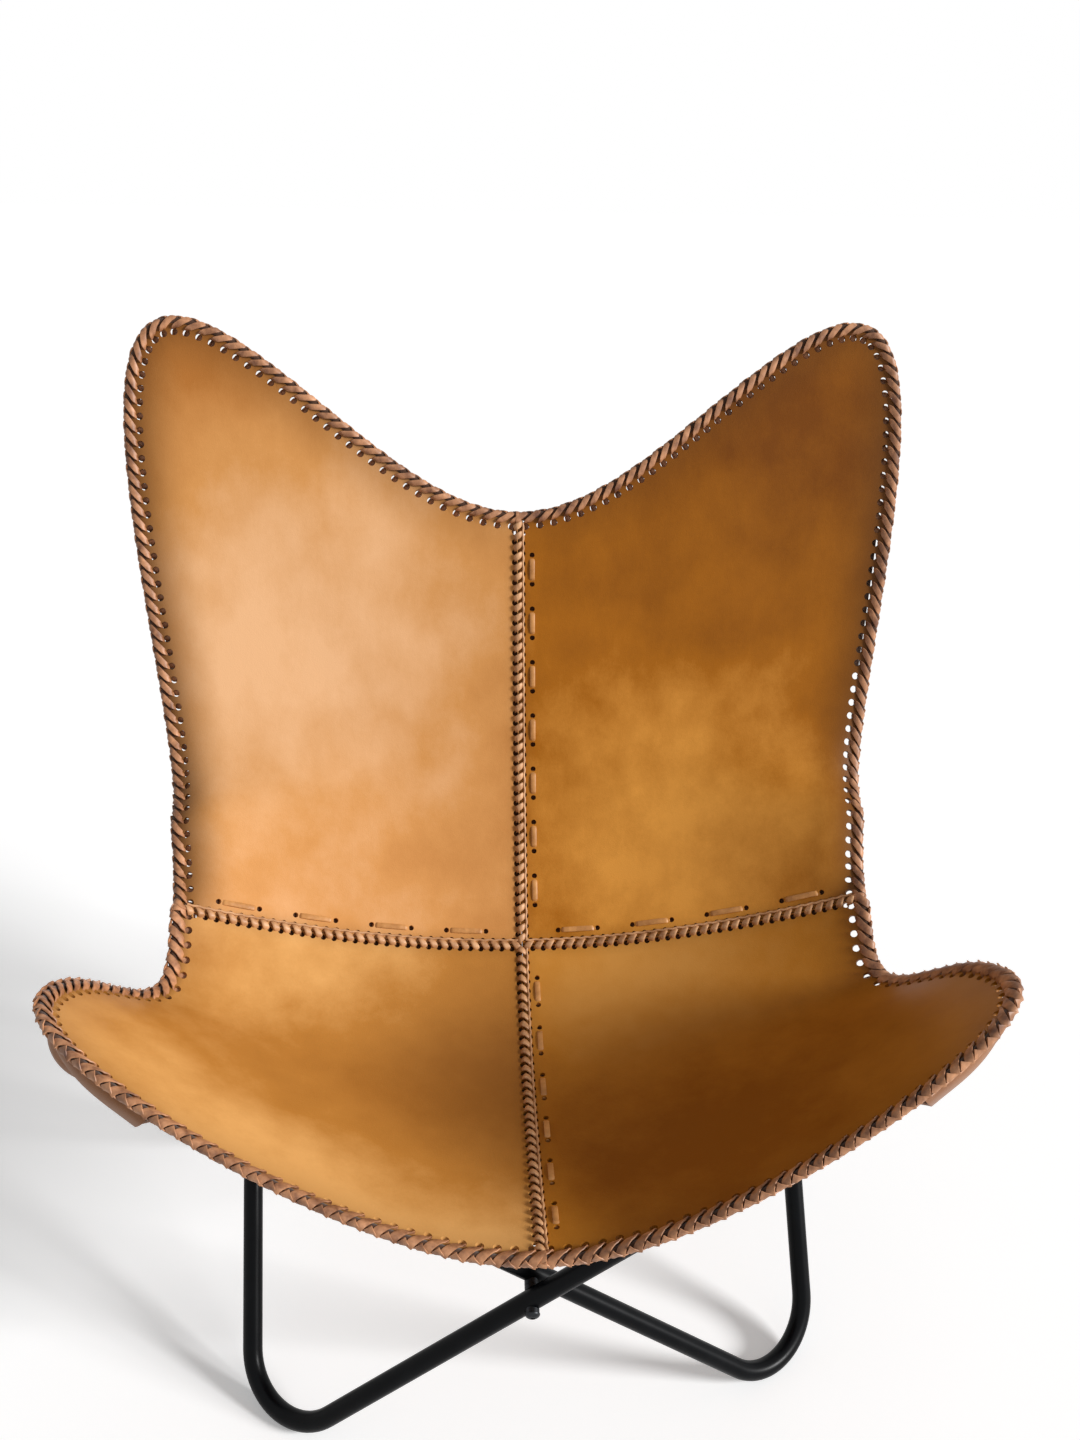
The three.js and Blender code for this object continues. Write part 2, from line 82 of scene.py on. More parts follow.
# %% [markdown]
# Materials are graphs of nodes. They could be wired one link at a time, but a small wrapper round a
# socket lets a graph be written as plain sums, so that a patina reads as cloud * 0.6 + pores * 0.1.

# %% shader wrapper
class Wire:
    """A value in a shader graph. Sums make Math nodes, and node() makes any other kind."""

    def __init__(self, tree, socket=None):
        self.tree = tree
        self.socket = socket

    def node(self, kind, sockets=None, output=0, **settings):
        made = self.tree.nodes.new(kind)
        for name, value in settings.items():
            setattr(made, name, value)
        for name, value in (sockets or {}).items():
            if isinstance(value, Wire):
                self.tree.links.new(value.socket, made.inputs[name])
            else:
                made.inputs[name].default_value = value
        return Wire(self.tree, made.outputs[output] if made.outputs else None)

    def math(self, operation, first, second):
        return self.node("ShaderNodeMath", {0: first, 1: second}, operation=operation)

    def __add__(self, other):
        return self.math("ADD", self, other)

    def __radd__(self, other):
        return self.math("ADD", other, self)

    def __sub__(self, other):
        return self.math("SUBTRACT", self, other)

    def __rsub__(self, other):
        return self.math("SUBTRACT", other, self)

    def __mul__(self, other):
        return self.math("MULTIPLY", self, other)

    def __rmul__(self, other):
        return self.math("MULTIPLY", other, self)

    def __truediv__(self, other):
        return self.math("DIVIDE", self, other)

    def __rtruediv__(self, other):
        return self.math("DIVIDE", other, self)

    def clamp(self):
        return self.node("ShaderNodeClamp", {"Value": self})

    def mix(self, first, second):
        """Goes from the first colour to the second as this value goes from 0 to 1."""
        return self.node("ShaderNodeMix", {0: self.clamp(), 6: first, 7: second}, 2, data_type="RGBA")

    def stretched(self, *scales):
        return self.node("ShaderNodeVectorMath", {0: self, 1: scales}, operation="MULTIPLY")

    def noise(self, scale, detail=3.0, roughness=0.55):
        sockets = {"Vector": self, "Scale": scale, "Detail": detail, "Roughness": roughness}
        return self.node("ShaderNodeTexNoise", sockets)

    def cells(self, scale):
        return self.node("ShaderNodeTexVoronoi", {"Vector": self, "Scale": scale})

    def near(self, centre, reach):
        """One at a place in space, falling to zero at a reach from it."""
        away = self.node("ShaderNodeVectorMath", {0: self, 1: centre}, "Value", operation="DISTANCE")
        return (1.0 - away / reach).clamp()

    def bump(self, strength, distance):
        return self.node("ShaderNodeBump", {"Height": self, "Strength": strength, "Distance": distance})


def colour(red, green, blue):
    """A screen colour, 0 to 255, as the light that a shader works in."""
    shares = [value / 255 for value in (red, green, blue)]
    light = [s / 12.92 if s < 0.04045 else ((s + 0.055) / 1.055) ** 2.4 for s in shares]
    return (*light, 1.0)


def new_material(name, recipe, *inputs, **patches):
    """A recipe takes the place in space, and gives what goes into the shader's sockets."""
    material = bpy.data.materials.new(name)
    material.use_nodes = True
    material.node_tree.nodes.clear()
    place = Wire(material.node_tree).node("ShaderNodeTexCoord", None, "Object")
    shader = place.node("ShaderNodeBsdfPrincipled", recipe(place, *inputs, **patches))
    place.node("ShaderNodeOutputMaterial", {"Surface": shader})
    return material


print("mid grey as light", colour(128, 128, 128))

# %% [markdown]
# The hide is full grain cowhide with a pull-up finish: broad clouds of lighter and darker tan over a fine
# grain of pores, darker and smoother at worked edges. Painted images could show that, but noise laid in
# space has no seams and needs no files. Patches of painted light and shade, and painted shade along the
# back's rolled sides, stand in for how the key falls.

# %% leather materials
# How far a painted patch of light or shade reaches.
PATCH_REACH = 0.22
# Dark tan for wear at worked edges, and for painted shade along the back's rolled sides.
WORN_EDGE_AND_SHADE = colour(92, 54, 16)


def hide_recipe(place, light, middle, dark, pale, deep):
    """pale lists the middles of painted patches of light, and deep is the middle of a painted patch of
    shade.
    """
    clouds = place.noise(4.2, 4.0, 0.55)
    mottle = place.noise(17.0, 4.0, 0.6)
    speck = place.noise(420.0, 2.0)
    pores = place.cells(1150.0)
    creases = place.stretched(1.0, 1.0, 0.35).noise(60.0, 5.0, 0.7)
    wear_and_shade = place.node("ShaderNodeAttribute", None, "Fac", attribute_name="near_edge")
    tone = (clouds - 0.5) * 1.5 + (mottle - 0.5) * 0.7 + (creases - 0.5) * 0.4 + (speck - 0.5) * 0.12
    # Pale patches add painted light and the deep patch adds painted shade.
    tone = tone + sum(place.near(patch, PATCH_REACH) for patch in pale) - place.near(deep, PATCH_REACH)
    body = (tone * 1.2).mix(middle, light)
    body = (tone * -1.2).mix(body, dark)
    height = pores * 0.35 + creases * 0.9 + speck * 0.25
    # Edges take the dark tan: painted shade along the back's sides, wear under the lacing and at the seams.
    return {
        "Base Color": wear_and_shade.mix(body, WORN_EDGE_AND_SHADE),
        "Roughness": 0.5 + (mottle - 0.5) * 0.25 - wear_and_shade * 0.06,
        "Specular IOR Level": 0.16,
        "Coat Weight": (mottle * 0.08).clamp(),
        "Coat Roughness": 0.42,
        "Normal": height.bump(0.16, 0.0012),
    }


def flesh_recipe(place, dark, light):
    nap = place.noise(900.0, 3.0, 0.7)
    clouds = place.noise(22.0, 4.0)
    fibres = place.stretched(1.0, 1.0, 4.0).noise(300.0, 3.0)
    tone = clouds * 0.7 + nap * 0.5 - 0.1
    return {
        "Base Color": tone.mix(dark, light),
        "Roughness": 0.82 + nap * 0.14,
        "Sheen Weight": 0.25,
        "Sheen Roughness": 0.6,
        "Specular IOR Level": 0.2,
        "Normal": (nap * 0.7 + fibres * 0.5).bump(0.35, 0.0008),
    }


def lace_recipe(place, light, dark):
    clouds = place.noise(70.0, 3.0)
    fibres = place.noise(700.0, 4.0, 0.7)
    cut = place.stretched(1.0, 1.0, 0.4).noise(210.0, 3.0)
    tone = (clouds - 0.5) * 2.0 + (cut - 0.5) * 0.9 + 0.5
    return {
        "Base Color": tone.mix(dark, light),
        "Roughness": 0.42 + fibres * 0.2,
        "Specular IOR Level": 0.45,
        "Coat Weight": (cut * 0.2).clamp(),
        "Coat Roughness": 0.35,
        "Normal": (fibres * 0.5 + cut * 0.7).bump(0.3, 0.0007),
    }


# Each hide has its own tan, as separate hides do, but the back left is lighter as painted light and sheen,
# and the back right darker as painted shade.
HIDES = {
    "back_left": new_material(
        "back left hide", hide_recipe, colour(235, 183, 134), colour(208, 146, 82), colour(176, 112, 50),
        pale=[(-0.23, 0.16, 0.62)], deep=(-0.33, 0.28, 0.92)),
    "back_right": new_material(
        "back right hide", hide_recipe, colour(226, 156, 66), colour(164, 98, 14), colour(118, 64, 4),
        pale=[(0.15, 0.08, 0.42)], deep=(0.22, 0.23, 0.80)),
    "seat_left": new_material(
        "seat left hide", hide_recipe, colour(220, 164, 96), colour(178, 119, 50), colour(156, 100, 38),
        pale=[(-0.16, 0.03, 0.40), (-0.24, -0.31, 0.43), (-0.06, -0.31, 0.35)], deep=(-0.10, -0.12, 0.33)),
    "seat_right": new_material(
        "seat right hide", hide_recipe, colour(204, 143, 66), colour(186, 120, 34), colour(148, 86, 12),
        pale=[(0.10, 0.02, 0.36)], deep=(0.14, -0.22, 0.34)),
}
FLESH = new_material("napped flesh side", flesh_recipe, colour(112, 66, 34), colour(166, 112, 68))
# The strip is stained dark, partly as painted shade seen through the seam holes and between the lacing's
# legs.
STAINED_SHADED_STRIP = new_material("strip stained dark with painted shade", flesh_recipe, colour(44, 24, 12), colour(86, 52, 28))
EDGE_LACE = new_material("edge lacing", lace_recipe, colour(204, 146, 104), colour(96, 54, 30))
SEAM_LACE = new_material("seam lacing", lace_recipe, colour(218, 168, 122), colour(150, 102, 62))
RUN_LACE = new_material("running thong", lace_recipe, colour(206, 146, 82), colour(158, 102, 46))
print("leather materials", len(HIDES) + 5)

# %% [markdown]
# The tube carries a satin black coat with a faint orange peel. The pivots are blackened steel, and the
# hidden spigots plain drawn steel. One flat roughness would look like plastic, so dust and drawing marks
# vary it.

# %% metal materials
def coat_recipe(place):
    peel = place.noise(520.0, 2.0)
    dust = place.noise(38.0, 4.0, 0.65)
    scuff = place.stretched(1.0, 1.0, 0.2).noise(160.0, 3.0)
    return {
        "Base Color": ((dust - 0.45) * 1.2).mix(colour(3, 4, 6), colour(10, 12, 16)),
        "Roughness": 0.27 + dust * 0.1 + scuff * 0.08,
        "Specular IOR Level": 0.08,
        "Coat Weight": (dust * 0.06).clamp(),
        "Coat Roughness": 0.2,
        "Normal": peel.bump(0.06, 0.0006),
    }


def steel_recipe(place, dark, light, roughness):
    drawn = place.stretched(1.0, 1.0, 0.15).noise(420.0, 4.0)
    stain = place.noise(90.0, 3.0)
    return {
        "Base Color": (stain * 0.8 + drawn * 0.3 - 0.1).mix(dark, light),
        "Metallic": 0.75 + stain * 0.2,
        "Roughness": roughness + drawn * 0.2,
        "Normal": drawn.bump(0.1, 0.0004),
    }


COAT = new_material("satin black coat", coat_recipe)
PIVOT_STEEL = new_material("blackened steel", steel_recipe, colour(26, 27, 29), colour(58, 60, 63), 0.3)
BARE_STEEL = new_material("drawn steel", steel_recipe, colour(120, 121, 124), colour(168, 169, 171), 0.28)
print("metal materials", [material.name for material in (COAT, PIVOT_STEEL, BARE_STEEL)])

# %% [markdown]
# Every piece is a mesh made from arrays of points. Bevelled curves could make many of them, but a sweep
# carries a small section along many paths at once, so lacing with hundreds of legs stays a few lines
# long.

# %% mesh helpers
SHARP_ANGLE = math.radians(42)


def unit(vectors):
    return vectors / np.maximum(np.linalg.norm(vectors, axis=-1, keepdims=True), 1e-12)


def shade(mesh):
    mesh.shade_smooth()
    mesh.set_sharp_from_angle(angle=SHARP_ANGLE)


def new_piece(name, points, faces, material):
    mesh = bpy.data.meshes.new(name)
    mesh.from_pydata(np.asarray(points).reshape(-1, 3).tolist(), [], faces)
    mesh.validate()
    shade(mesh)
    mesh.materials.append(material)
    piece = bpy.data.objects.new(name, mesh)
    bpy.context.scene.collection.objects.link(piece)
    return piece


def corners(grid):
    """The four corners of every cell in a grid, in order round it."""
    return grid[:-1, :-1], grid[1:, :-1], grid[1:, 1:], grid[:-1, 1:]


def quads(rows, columns, first=0, flip=False, closed=False):
    """Faces between rows of points. Closed rows are rings."""
    index = first + np.arange(rows * columns).reshape(rows, columns)
    if closed:
        index = np.column_stack([index, index[:, 0]])
    faces = np.stack(corners(index), -1).reshape(-1, 4)
    return (faces[:, ::-1] if flip else faces).tolist()


def sheet_solid(upper, lower):
    """A closed skin between two grids of points, with a wall round the rim."""
    rows, columns = upper.shape[:2]
    count = rows * columns
    faces = quads(rows, columns) + quads(rows, columns, count, True)
    index = np.arange(count).reshape(rows, columns)
    rim = np.concatenate([index[:, 0], index[-1, 1:], index[-2::-1, -1], index[0, -2:0:-1]]).tolist()
    for here, there in zip(rim, rim[1:] + rim[:1]):
        faces.append([there, here, here + count, there + count])
    return np.concatenate([upper.reshape(-1, 3), lower.reshape(-1, 3)]), faces


def circle(sides):
    turn = np.arange(sides) * 2 * math.pi / sides
    return np.stack([np.cos(turn), np.sin(turn)], 1)


def rounded_section(width, thick, sides=10, power=3.0):
    turn = np.arange(sides) * 2 * math.pi / sides + math.pi / sides
    cos, sin = np.cos(turn), np.sin(turn)
    across = np.sign(cos) * np.abs(cos) ** (2 / power) * width / 2
    up = np.sign(sin) * np.abs(sin) ** (2 / power) * thick / 2
    return np.stack([across, up], 1)


def swept(paths, ups, section):
    """Carries a section along each path. ups point out of the strip's upper face."""
    ways = unit(np.gradient(paths, axis=1))
    sides = unit(np.cross(ways, ups))
    ups = np.cross(sides, ways)
    points = paths[:, :, None] + sides[:, :, None] * section[:, :1] + ups[:, :, None] * section[:, 1:]
    many, length, around = points.shape[:3]
    faces = []
    for first in range(0, many * length * around, length * around):
        last = first + (length - 1) * around
        faces += quads(length, around, first, closed=True)
        faces.append(list(range(first, first + around)))
        faces.append(list(reversed(range(last, last + around))))
    return points, faces


def joined(*parts):
    points, faces, count = [], [], 0
    for part_points, part_faces in parts:
        part_points = np.asarray(part_points).reshape(-1, 3)
        points.append(part_points)
        faces += [[count + v for v in face] for face in part_faces]
        count += len(part_points)
    return np.concatenate(points), faces


def prisms(places, ways, radius, reach, sides):
    """Closed round pegs, one at each place, used as drills and punches."""
    spare = np.where(np.abs(ways[:, :1]) < 0.8, [[1.0, 0, 0]], [[0, 1.0, 0]])
    paths = places[:, None] + ways[:, None] * np.array([-reach, 0, reach])[:, None]
    return swept(paths, np.repeat(spare[:, None], 3, 1), circle(sides) * radius)


def cut(piece, points, faces, operation="DIFFERENCE"):
    """Cuts a piece with a closed tool, then throws the tool away."""
    tool = new_piece(piece.name + "_tool", points, faces, piece.data.materials[0])
    change = piece.modifiers.new("cut", "BOOLEAN")
    change.operation = operation
    change.solver = "MANIFOLD"
    change.object = tool
    bpy.context.view_layer.update()
    seen = piece.evaluated_get(bpy.context.evaluated_depsgraph_get())
    made = bpy.data.meshes.new_from_object(seen)
    piece.modifiers.clear()
    piece.data = made
    bpy.data.objects.remove(tool)
    shade(made)


print("faces between two rings of six", len(quads(2, 6, closed=True)))

# %% [markdown]
# Each loop of the frame is tube bent at six corners: two feet, two tips, a saddle under the sling and an
# arch at the side. A maker bends it in two halves that meet on spigots. A smooth curve through the
# corners would be quicker, but a tube bender leaves true arcs between straight runs.

# %% bends of a loop
SPACER_DIAMETER = 12 * MM
SPACER_LEAST = 1 * MM
BEND_STEPS = 26
FOOT_TRIES = 30
HALF_SHARES = [(0.5, 1), (0, 1), (0, 1), (0, 0.5)]
fold_axis = unit(REAR_CROSSING - FRONT_CROSSING)
tube_reach = TUBE_OUTSIDE / 2 + CLEARANCE


def spacer_reach(crossing, tip):
    slope = math.acos(float(unit(tip - crossing) @ fold_axis))
    return tube_reach / math.sin(slope) + SPACER_DIAMETER / 2 / math.tan(slope) + SPACER_LEAST


REACH = {
    "front": spacer_reach(FRONT_CROSSING, FRONT_TIP_CORNER),
    "rear": spacer_reach(REAR_CROSSING, REAR_TIP_CORNER),
}
LOOP_OFFSET = {end: reach + CLEARANCE / 2 for end, reach in REACH.items()}
OUTER_FACE = {end: LOOP_OFFSET[end] + REACH[end] + CLEARANCE for end in REACH}


def bend(before, corner, after, radius):
    back, on = unit(before - corner), unit(after - corner)
    half = math.acos(float(back @ on)) / 2
    centre = corner + unit(back + on) * radius / math.sin(half)
    start = corner + back * radius / math.tan(half) - centre
    normal = unit(np.cross(back, on))
    lowest = centre[2] - radius * math.sqrt(1 - normal[2] ** 2)
    turn = math.pi - 2 * half
    return {"centre": centre, "start": start, "normal": normal, "turn": turn, "lowest": lowest}


def bend_points(arc, first, last):
    angles = -arc["turn"] * np.linspace(first, last, max(3, round(BEND_STEPS * (last - first)) + 1))
    side = np.cross(arc["normal"], arc["start"])
    return arc["centre"] + np.cos(angles)[:, None] * arc["start"] + np.sin(angles)[:, None] * side


def foot_corner(crossing, tip, arch):
    """Slides a foot's corner along its run until the bend stands on the floor."""
    way = unit(crossing - tip)
    corner = crossing + way * crossing[2] / -way[2]
    for _ in range(FOOT_TRIES):
        corner = corner + way * (TUBE_OUTSIDE / 2 - bend(tip, corner, arch, FOOT_BEND)["lowest"]) / way[2]
    return corner


def loop_paths(side):
    mirror = np.array([side, 1, 1])
    shift = {end: -side * offset * fold_axis for end, offset in LOOP_OFFSET.items()}
    arch, saddle = ARCH_CORNER * mirror, SADDLE_CORNER * mirror
    front_tip, rear_tip = FRONT_TIP_CORNER * mirror, REAR_TIP_CORNER * mirror
    front_foot = foot_corner(FRONT_CROSSING + shift["front"], front_tip, arch)
    rear_foot = foot_corner(REAR_CROSSING + shift["rear"], rear_tip, arch)
    ring = [arch, front_foot, front_tip, saddle, rear_tip, rear_foot]
    radii = [ARCH_BEND, FOOT_BEND, TIP_BEND, SADDLE_BEND, TIP_BEND, FOOT_BEND]
    arcs = [bend(ring[k - 1], ring[k], ring[k - 5], radius) for k, radius in enumerate(radii)]
    paths = {}
    # Each half starts and ends in the middle of a bend, at the arch and at the saddle.
    for end, half in (("front", arcs[:4]), ("rear", arcs[3:] + arcs[:1])):
        path = np.concatenate([bend_points(arc, *share) for arc, share in zip(half, HALF_SHARES)])
        path[0] += unit(path[1] - path[0]) * BUTT_GAP / 2
        path[-1] -= unit(path[-1] - path[-2]) * BUTT_GAP / 2
        paths[end] = path + TO_FRAME
    return paths


print("loops stand off the crossings by", LOOP_OFFSET)

# %% [markdown]
# A pipe is swept with a frame that never twists, so its wall stays even round the bends. A bevelled curve
# would look alike, but it has no wall and no open end. The bolt holes are drilled along the fold axis.

# %% pipes
PIPE_SIDES = 28
BOLT_HOLE = BOLT_DIAMETER / 2 + CLEARANCE
BOLT_HOLE_SIDES = 20
DRILL_REACH = 4 * LOOP_OFFSET["rear"]
SPARE_WAY = [0.3, 0.9, 0.2]
crossings = {"front": FRONT_CROSSING + TO_FRAME, "rear": REAR_CROSSING + TO_FRAME}


def pipe_skin(path, radius):
    steps = unit(np.diff(path, axis=0))
    ways = np.concatenate([steps[:1], unit(steps[:-1] + steps[1:]), steps[-1:]])
    ups = [unit(np.cross(ways[0], SPARE_WAY))]
    for way in ways[1:]:
        ups.append(unit(ups[-1] - way * (ups[-1] @ way)))
    cos, sin = circle(PIPE_SIDES).T[:, :, None, None]
    ring = cos * np.cross(ways, ups) + sin * np.array(ups)
    return (path + radius * ring).transpose(1, 0, 2)


def pipe(name, path, node, body):
    skins = [pipe_skin(path, radius) for radius in (TUBE_OUTSIDE / 2, TUBE_OUTSIDE / 2 - TUBE_WALL)]
    count = len(path) * PIPE_SIDES
    last = count - PIPE_SIDES
    faces = quads(len(path), PIPE_SIDES, closed=True) + quads(len(path), PIPE_SIDES, count, True, True)
    for a in range(PIPE_SIDES):
        b = (a + 1) % PIPE_SIDES
        faces.append([a, b, count + b, count + a])
        faces.append([last + b, last + a, count + last + a, count + last + b])
    piece = new_piece(name, np.concatenate(skins), faces, COAT)
    places, ways = np.array(list(crossings.values())), np.repeat(fold_axis[None], 2, 0)
    cut(piece, *prisms(places, ways, BOLT_HOLE, DRILL_REACH, BOLT_HOLE_SIDES))
    # Nothing dips below the floor, not even by a rounding error.
    for vertex in piece.data.vertices:
        vertex.co.z = max(vertex.co.z, 0.0)
    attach(piece, body)
    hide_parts(node)
    return piece


pipes = []
for loop, side in (("right", 1), ("left", -1)):
    for end, path in loop_paths(side).items():
        pipes.append(pipe(f"{loop}_{end}_pipe", path, f"{loop}_loop_{end}_tube", f"{loop}_loop"))
for name, node in frame["nodes"].items():
    if name.endswith("_spigot"):
        node.data.materials.clear()
        node.data.materials.append(BARE_STEEL)
print("pipes", [len(piece.data.polygons) for piece in pipes])

# %% [markdown]
# A bolt runs through both loops at each crossing. Saddle spacers, hollowed on one side, let the round
# tubes turn flat against each other, so the frame can scissor shut. A maker turns such pieces on a lathe
# and then cuts them. The same is done here, because a cut leaves crisp edges.

# %% pivot hardware
BOLT_HEAD_DIAMETER = 13 * MM
BOLT_HEAD_HEIGHT = 4 * MM
BOLT_TAIL = 3 * MM
SOCKET_WIDTH = 4 * MM
THREAD_PITCH = 1 * MM
THREAD_DEPTH = 0.45 * MM
NUT_WIDTH = 11 * MM
NUT_HEIGHT = 6 * MM
# The button head's dome, from the socket down to the rim.
DOME_ANGLES = np.linspace(1.15, 0.12, 9)
# A barrel turns off the nut's corners, in shares of its width.
BARREL_MOUTH = 0.97
BARREL_BELLY = 1.01
BARREL_SLOPE = 0.55
SADDLE_SIDES = 40
AXIS_TURN = Vector((0, 0, 1)).rotation_difference(Vector(fold_axis)).to_matrix()


def turned(profile, sides=48):
    """A closed shape turned on a lathe. The profile is (radius, height)."""
    ring = circle(sides)
    rings = [np.column_stack([radius * ring, np.full(sides, height)]) for radius, height in profile]
    last = (len(profile) - 1) * sides
    faces = [list(reversed(range(sides)))] + quads(len(profile), sides, 0, True, True)
    faces.append(list(range(last, last + sides)))
    return np.concatenate(rings), faces


def hexagon(width, low, high):
    return turned([(width / math.sqrt(3), low), (width / math.sqrt(3), high)], 6)


def on_axis(shape, crossing):
    points, faces = shape
    return points @ np.array(AXIS_TURN).T + crossing, faces


def hardware(name, shape, crossing, body):
    piece = new_piece(name, *on_axis(shape, crossing), PIVOT_STEEL)
    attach(piece, body)
    return piece


def drill(piece, low, high, crossing):
    cut(piece, *on_axis(turned([(BOLT_HOLE, low - MM), (BOLT_HOLE, high + MM)]), crossing))


def bolt(end, crossing):
    face = OUTER_FACE[end]
    shank, head = BOLT_DIAMETER / 2, BOLT_HEAD_DIAMETER / 2
    tip = face + NUT_HEIGHT + BOLT_TAIL
    dome = [(head * math.cos(t), -face - BOLT_HEAD_HEIGHT * math.sin(t)) for t in DOME_ANGLES]
    thread = []
    for turn in range(round(BOLT_TAIL / THREAD_PITCH)):
        start = tip - BOLT_TAIL + turn * THREAD_PITCH
        thread += [(shank, start), (shank - THREAD_DEPTH, start + THREAD_PITCH / 2)]
    profile = dome + [(head, -face), (shank, -face)] + thread + [(shank - THREAD_DEPTH, tip)]
    piece = hardware(f"{end}_button_bolt", turned(profile), crossing, "pivots")
    socket = hexagon(SOCKET_WIDTH, -face - BOLT_HEAD_HEIGHT - MM, -face - BOLT_HEAD_HEIGHT / 3)
    cut(piece, *on_axis(socket, crossing))
    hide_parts(f"{end}_pivot_bolt")


def nut(end, crossing):
    low, high = OUTER_FACE[end], OUTER_FACE[end] + NUT_HEIGHT
    piece = hardware(f"{end}_hexagon_nut", hexagon(NUT_WIDTH, low, high), crossing, "pivots")
    mouth, belly = NUT_WIDTH / 2 * BARREL_MOUTH, NUT_WIDTH / math.sqrt(3) * BARREL_BELLY
    slope = (belly - mouth) * BARREL_SLOPE
    barrel = turned([(mouth, low), (belly, low + slope), (belly, high - slope), (mouth, high)])
    cut(piece, *on_axis(barrel, crossing), "INTERSECT")
    drill(piece, low, high, crossing)
    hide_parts(f"{end}_pivot_nut")


def spacer(end, loop, place, side, outward, crossing, tip):
    middle = -side * LOOP_OFFSET[end]
    low, high = sorted([middle, middle + outward * REACH[end]])
    blank = turned([(SPACER_DIAMETER / 2, low), (SPACER_DIAMETER / 2, high)])
    piece = hardware(f"{end}_{loop}_{place}_saddle", blank, crossing, f"{loop}_loop")
    heart = crossing + middle * fold_axis
    cut(piece, *prisms(heart[None], unit(tip - heart)[None], tube_reach, 2 * TUBE_OUTSIDE, SADDLE_SIDES))
    drill(piece, low, high, crossing)
    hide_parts(f"{end}_{loop}_{place}_spacer")


for end, tip_corner in (("front", FRONT_TIP_CORNER), ("rear", REAR_TIP_CORNER)):
    bolt(end, crossings[end])
    nut(end, crossings[end])
    for loop, side in (("right", 1), ("left", -1)):
        tip = tip_corner * np.array([side, 1, 1]) + TO_FRAME
        for place, outward in (("outer", -side), ("inner", side)):
            spacer(end, loop, place, side, outward, crossings[end], tip)
print("bolts, nuts and spacers at", crossings)

# %% [markdown]
# The sling is one stretched surface. Cloth could be simulated, but the photograph shows where its edges
# and seams lie, so a smooth curve joins seven lines from front to top. Across each line the leather rises
# from the middle to the side edge, sharply near the tips and gently at the seat.

# %% sling surface
# Lines across the sling: half width, then the middle's and the side edge's places in depth and height.
FRONT_EDGE = np.array([483, -125, 337, -93, 635]) * MM
SEAT_WING = np.array([386, 0, 319, 30, 492]) * MM
SEAT_DIP = np.array([317, 110, 322, 110, 401]) * MM
CROSS_SEAM = np.array([308, 215, 367, 180, 439]) * MM
LOWER_BACK = np.array([315, 295, 471, 232, 492]) * MM
UPPER_BACK = np.array([361, 357, 596, 335, 596]) * MM
TOP_EDGE = np.array([531, 410, 728, 536, 1188]) * MM
LINES = np.array([FRONT_EDGE, SEAT_WING, SEAT_DIP, CROSS_SEAM, LOWER_BACK, UPPER_BACK, TOP_EDGE])
ENDED = np.concatenate([[2 * LINES[0] - LINES[1]], LINES, [2 * LINES[-1] - LINES[-2]]])
# How broadly each line is rounded in the middle, as a share of its half width.
FRONT_ROUND = 0.384
MIDDLE_ROUND = 2.345
TOP_ROUND = 0.296
CORNER_POWER = 3.67
# The side edges of the back roll away from the sitter.
ROLL_BAND = 34 * MM
ROLL_DEPTH = 12 * MM
ROLL_EASE = 0.08
ROLL_TOP = 0.95
ROLL_TOP_EASE = 0.2
# Slow waves, which die away towards the sides.
RIPPLE = 0.5 * MM
RIPPLE_WAVES = ((9, 4), (5, 13))
CALM_FROM = 0.80
CALM_EASE = 0.3
SMALL_STEP = 1e-3
QUARTERS = {"back_left": (-1, 1), "back_right": (1, 1), "seat_left": (-1, -1), "seat_right": (1, -1)}


def line_at(along):
    """The lines' five numbers, smoothed, at shares of the way from front to top."""
    place = np.clip(along, 0, 1) * (len(LINES) - 1)
    step = np.minimum(place.astype(int), len(LINES) - 2)
    t = (place - step)[..., None]
    a, b, c, d = (ENDED[step + k] for k in range(4))
    slope_b, slope_c = (c - a) / 2, (d - b) / 2
    cubic = (2 * b - 2 * c + slope_b + slope_c) * t ** 3
    return cubic + (3 * c - 3 * b - 2 * slope_b - slope_c) * t ** 2 + slope_b * t + b


def sling_point(across, along):
    across, along = np.broadcast_arrays(np.asarray(across, float), np.asarray(along, float))
    half, middle_y, middle_z, side_y, side_z = np.moveaxis(line_at(along), -1, 0)
    from_middle = np.clip(np.abs(2 * along - 1), 0, 1)
    end_round = np.where(along < 0.5, FRONT_ROUND, TOP_ROUND)
    bow = MIDDLE_ROUND + (end_round - MIDDLE_ROUND) * from_middle
    rise = (np.hypot(across, bow) - bow) / (np.hypot(1, bow) - bow)
    y = middle_y + (side_y - middle_y) * rise
    z = middle_z + (side_z - middle_z) * rise
    return np.stack([half * across, y, z], -1) + TO_FRAME


def sling_face(across, along):
    """The way out of the sling towards the sitter."""
    across_way = sling_point(across + SMALL_STEP, along) - sling_point(across - SMALL_STEP, along)
    above, below = np.minimum(along + SMALL_STEP, 1), np.maximum(along - SMALL_STEP, 0)
    return unit(np.cross(across_way, sling_point(across, above) - sling_point(across, below)))


def roll_back(across, along):
    """How far the hide lies off the plain surface."""
    from_side = (1 - np.abs(across)) * CROSS_SEAM[0]
    near = np.clip(1 - from_side / ROLL_BAND, 0, 1) ** 2
    height = np.clip((along - 0.5) / ROLL_EASE, 0, 1) * np.clip((ROLL_TOP - along) / ROLL_TOP_EASE, 0, 1)
    one, other = (np.sin(a * across + b * along) for a, b in RIPPLE_WAVES)
    calm = np.clip((CALM_FROM - np.abs(across)) / CALM_EASE, 0, 1)
    return -ROLL_DEPTH * near * height + RIPPLE * (one * other) * calm


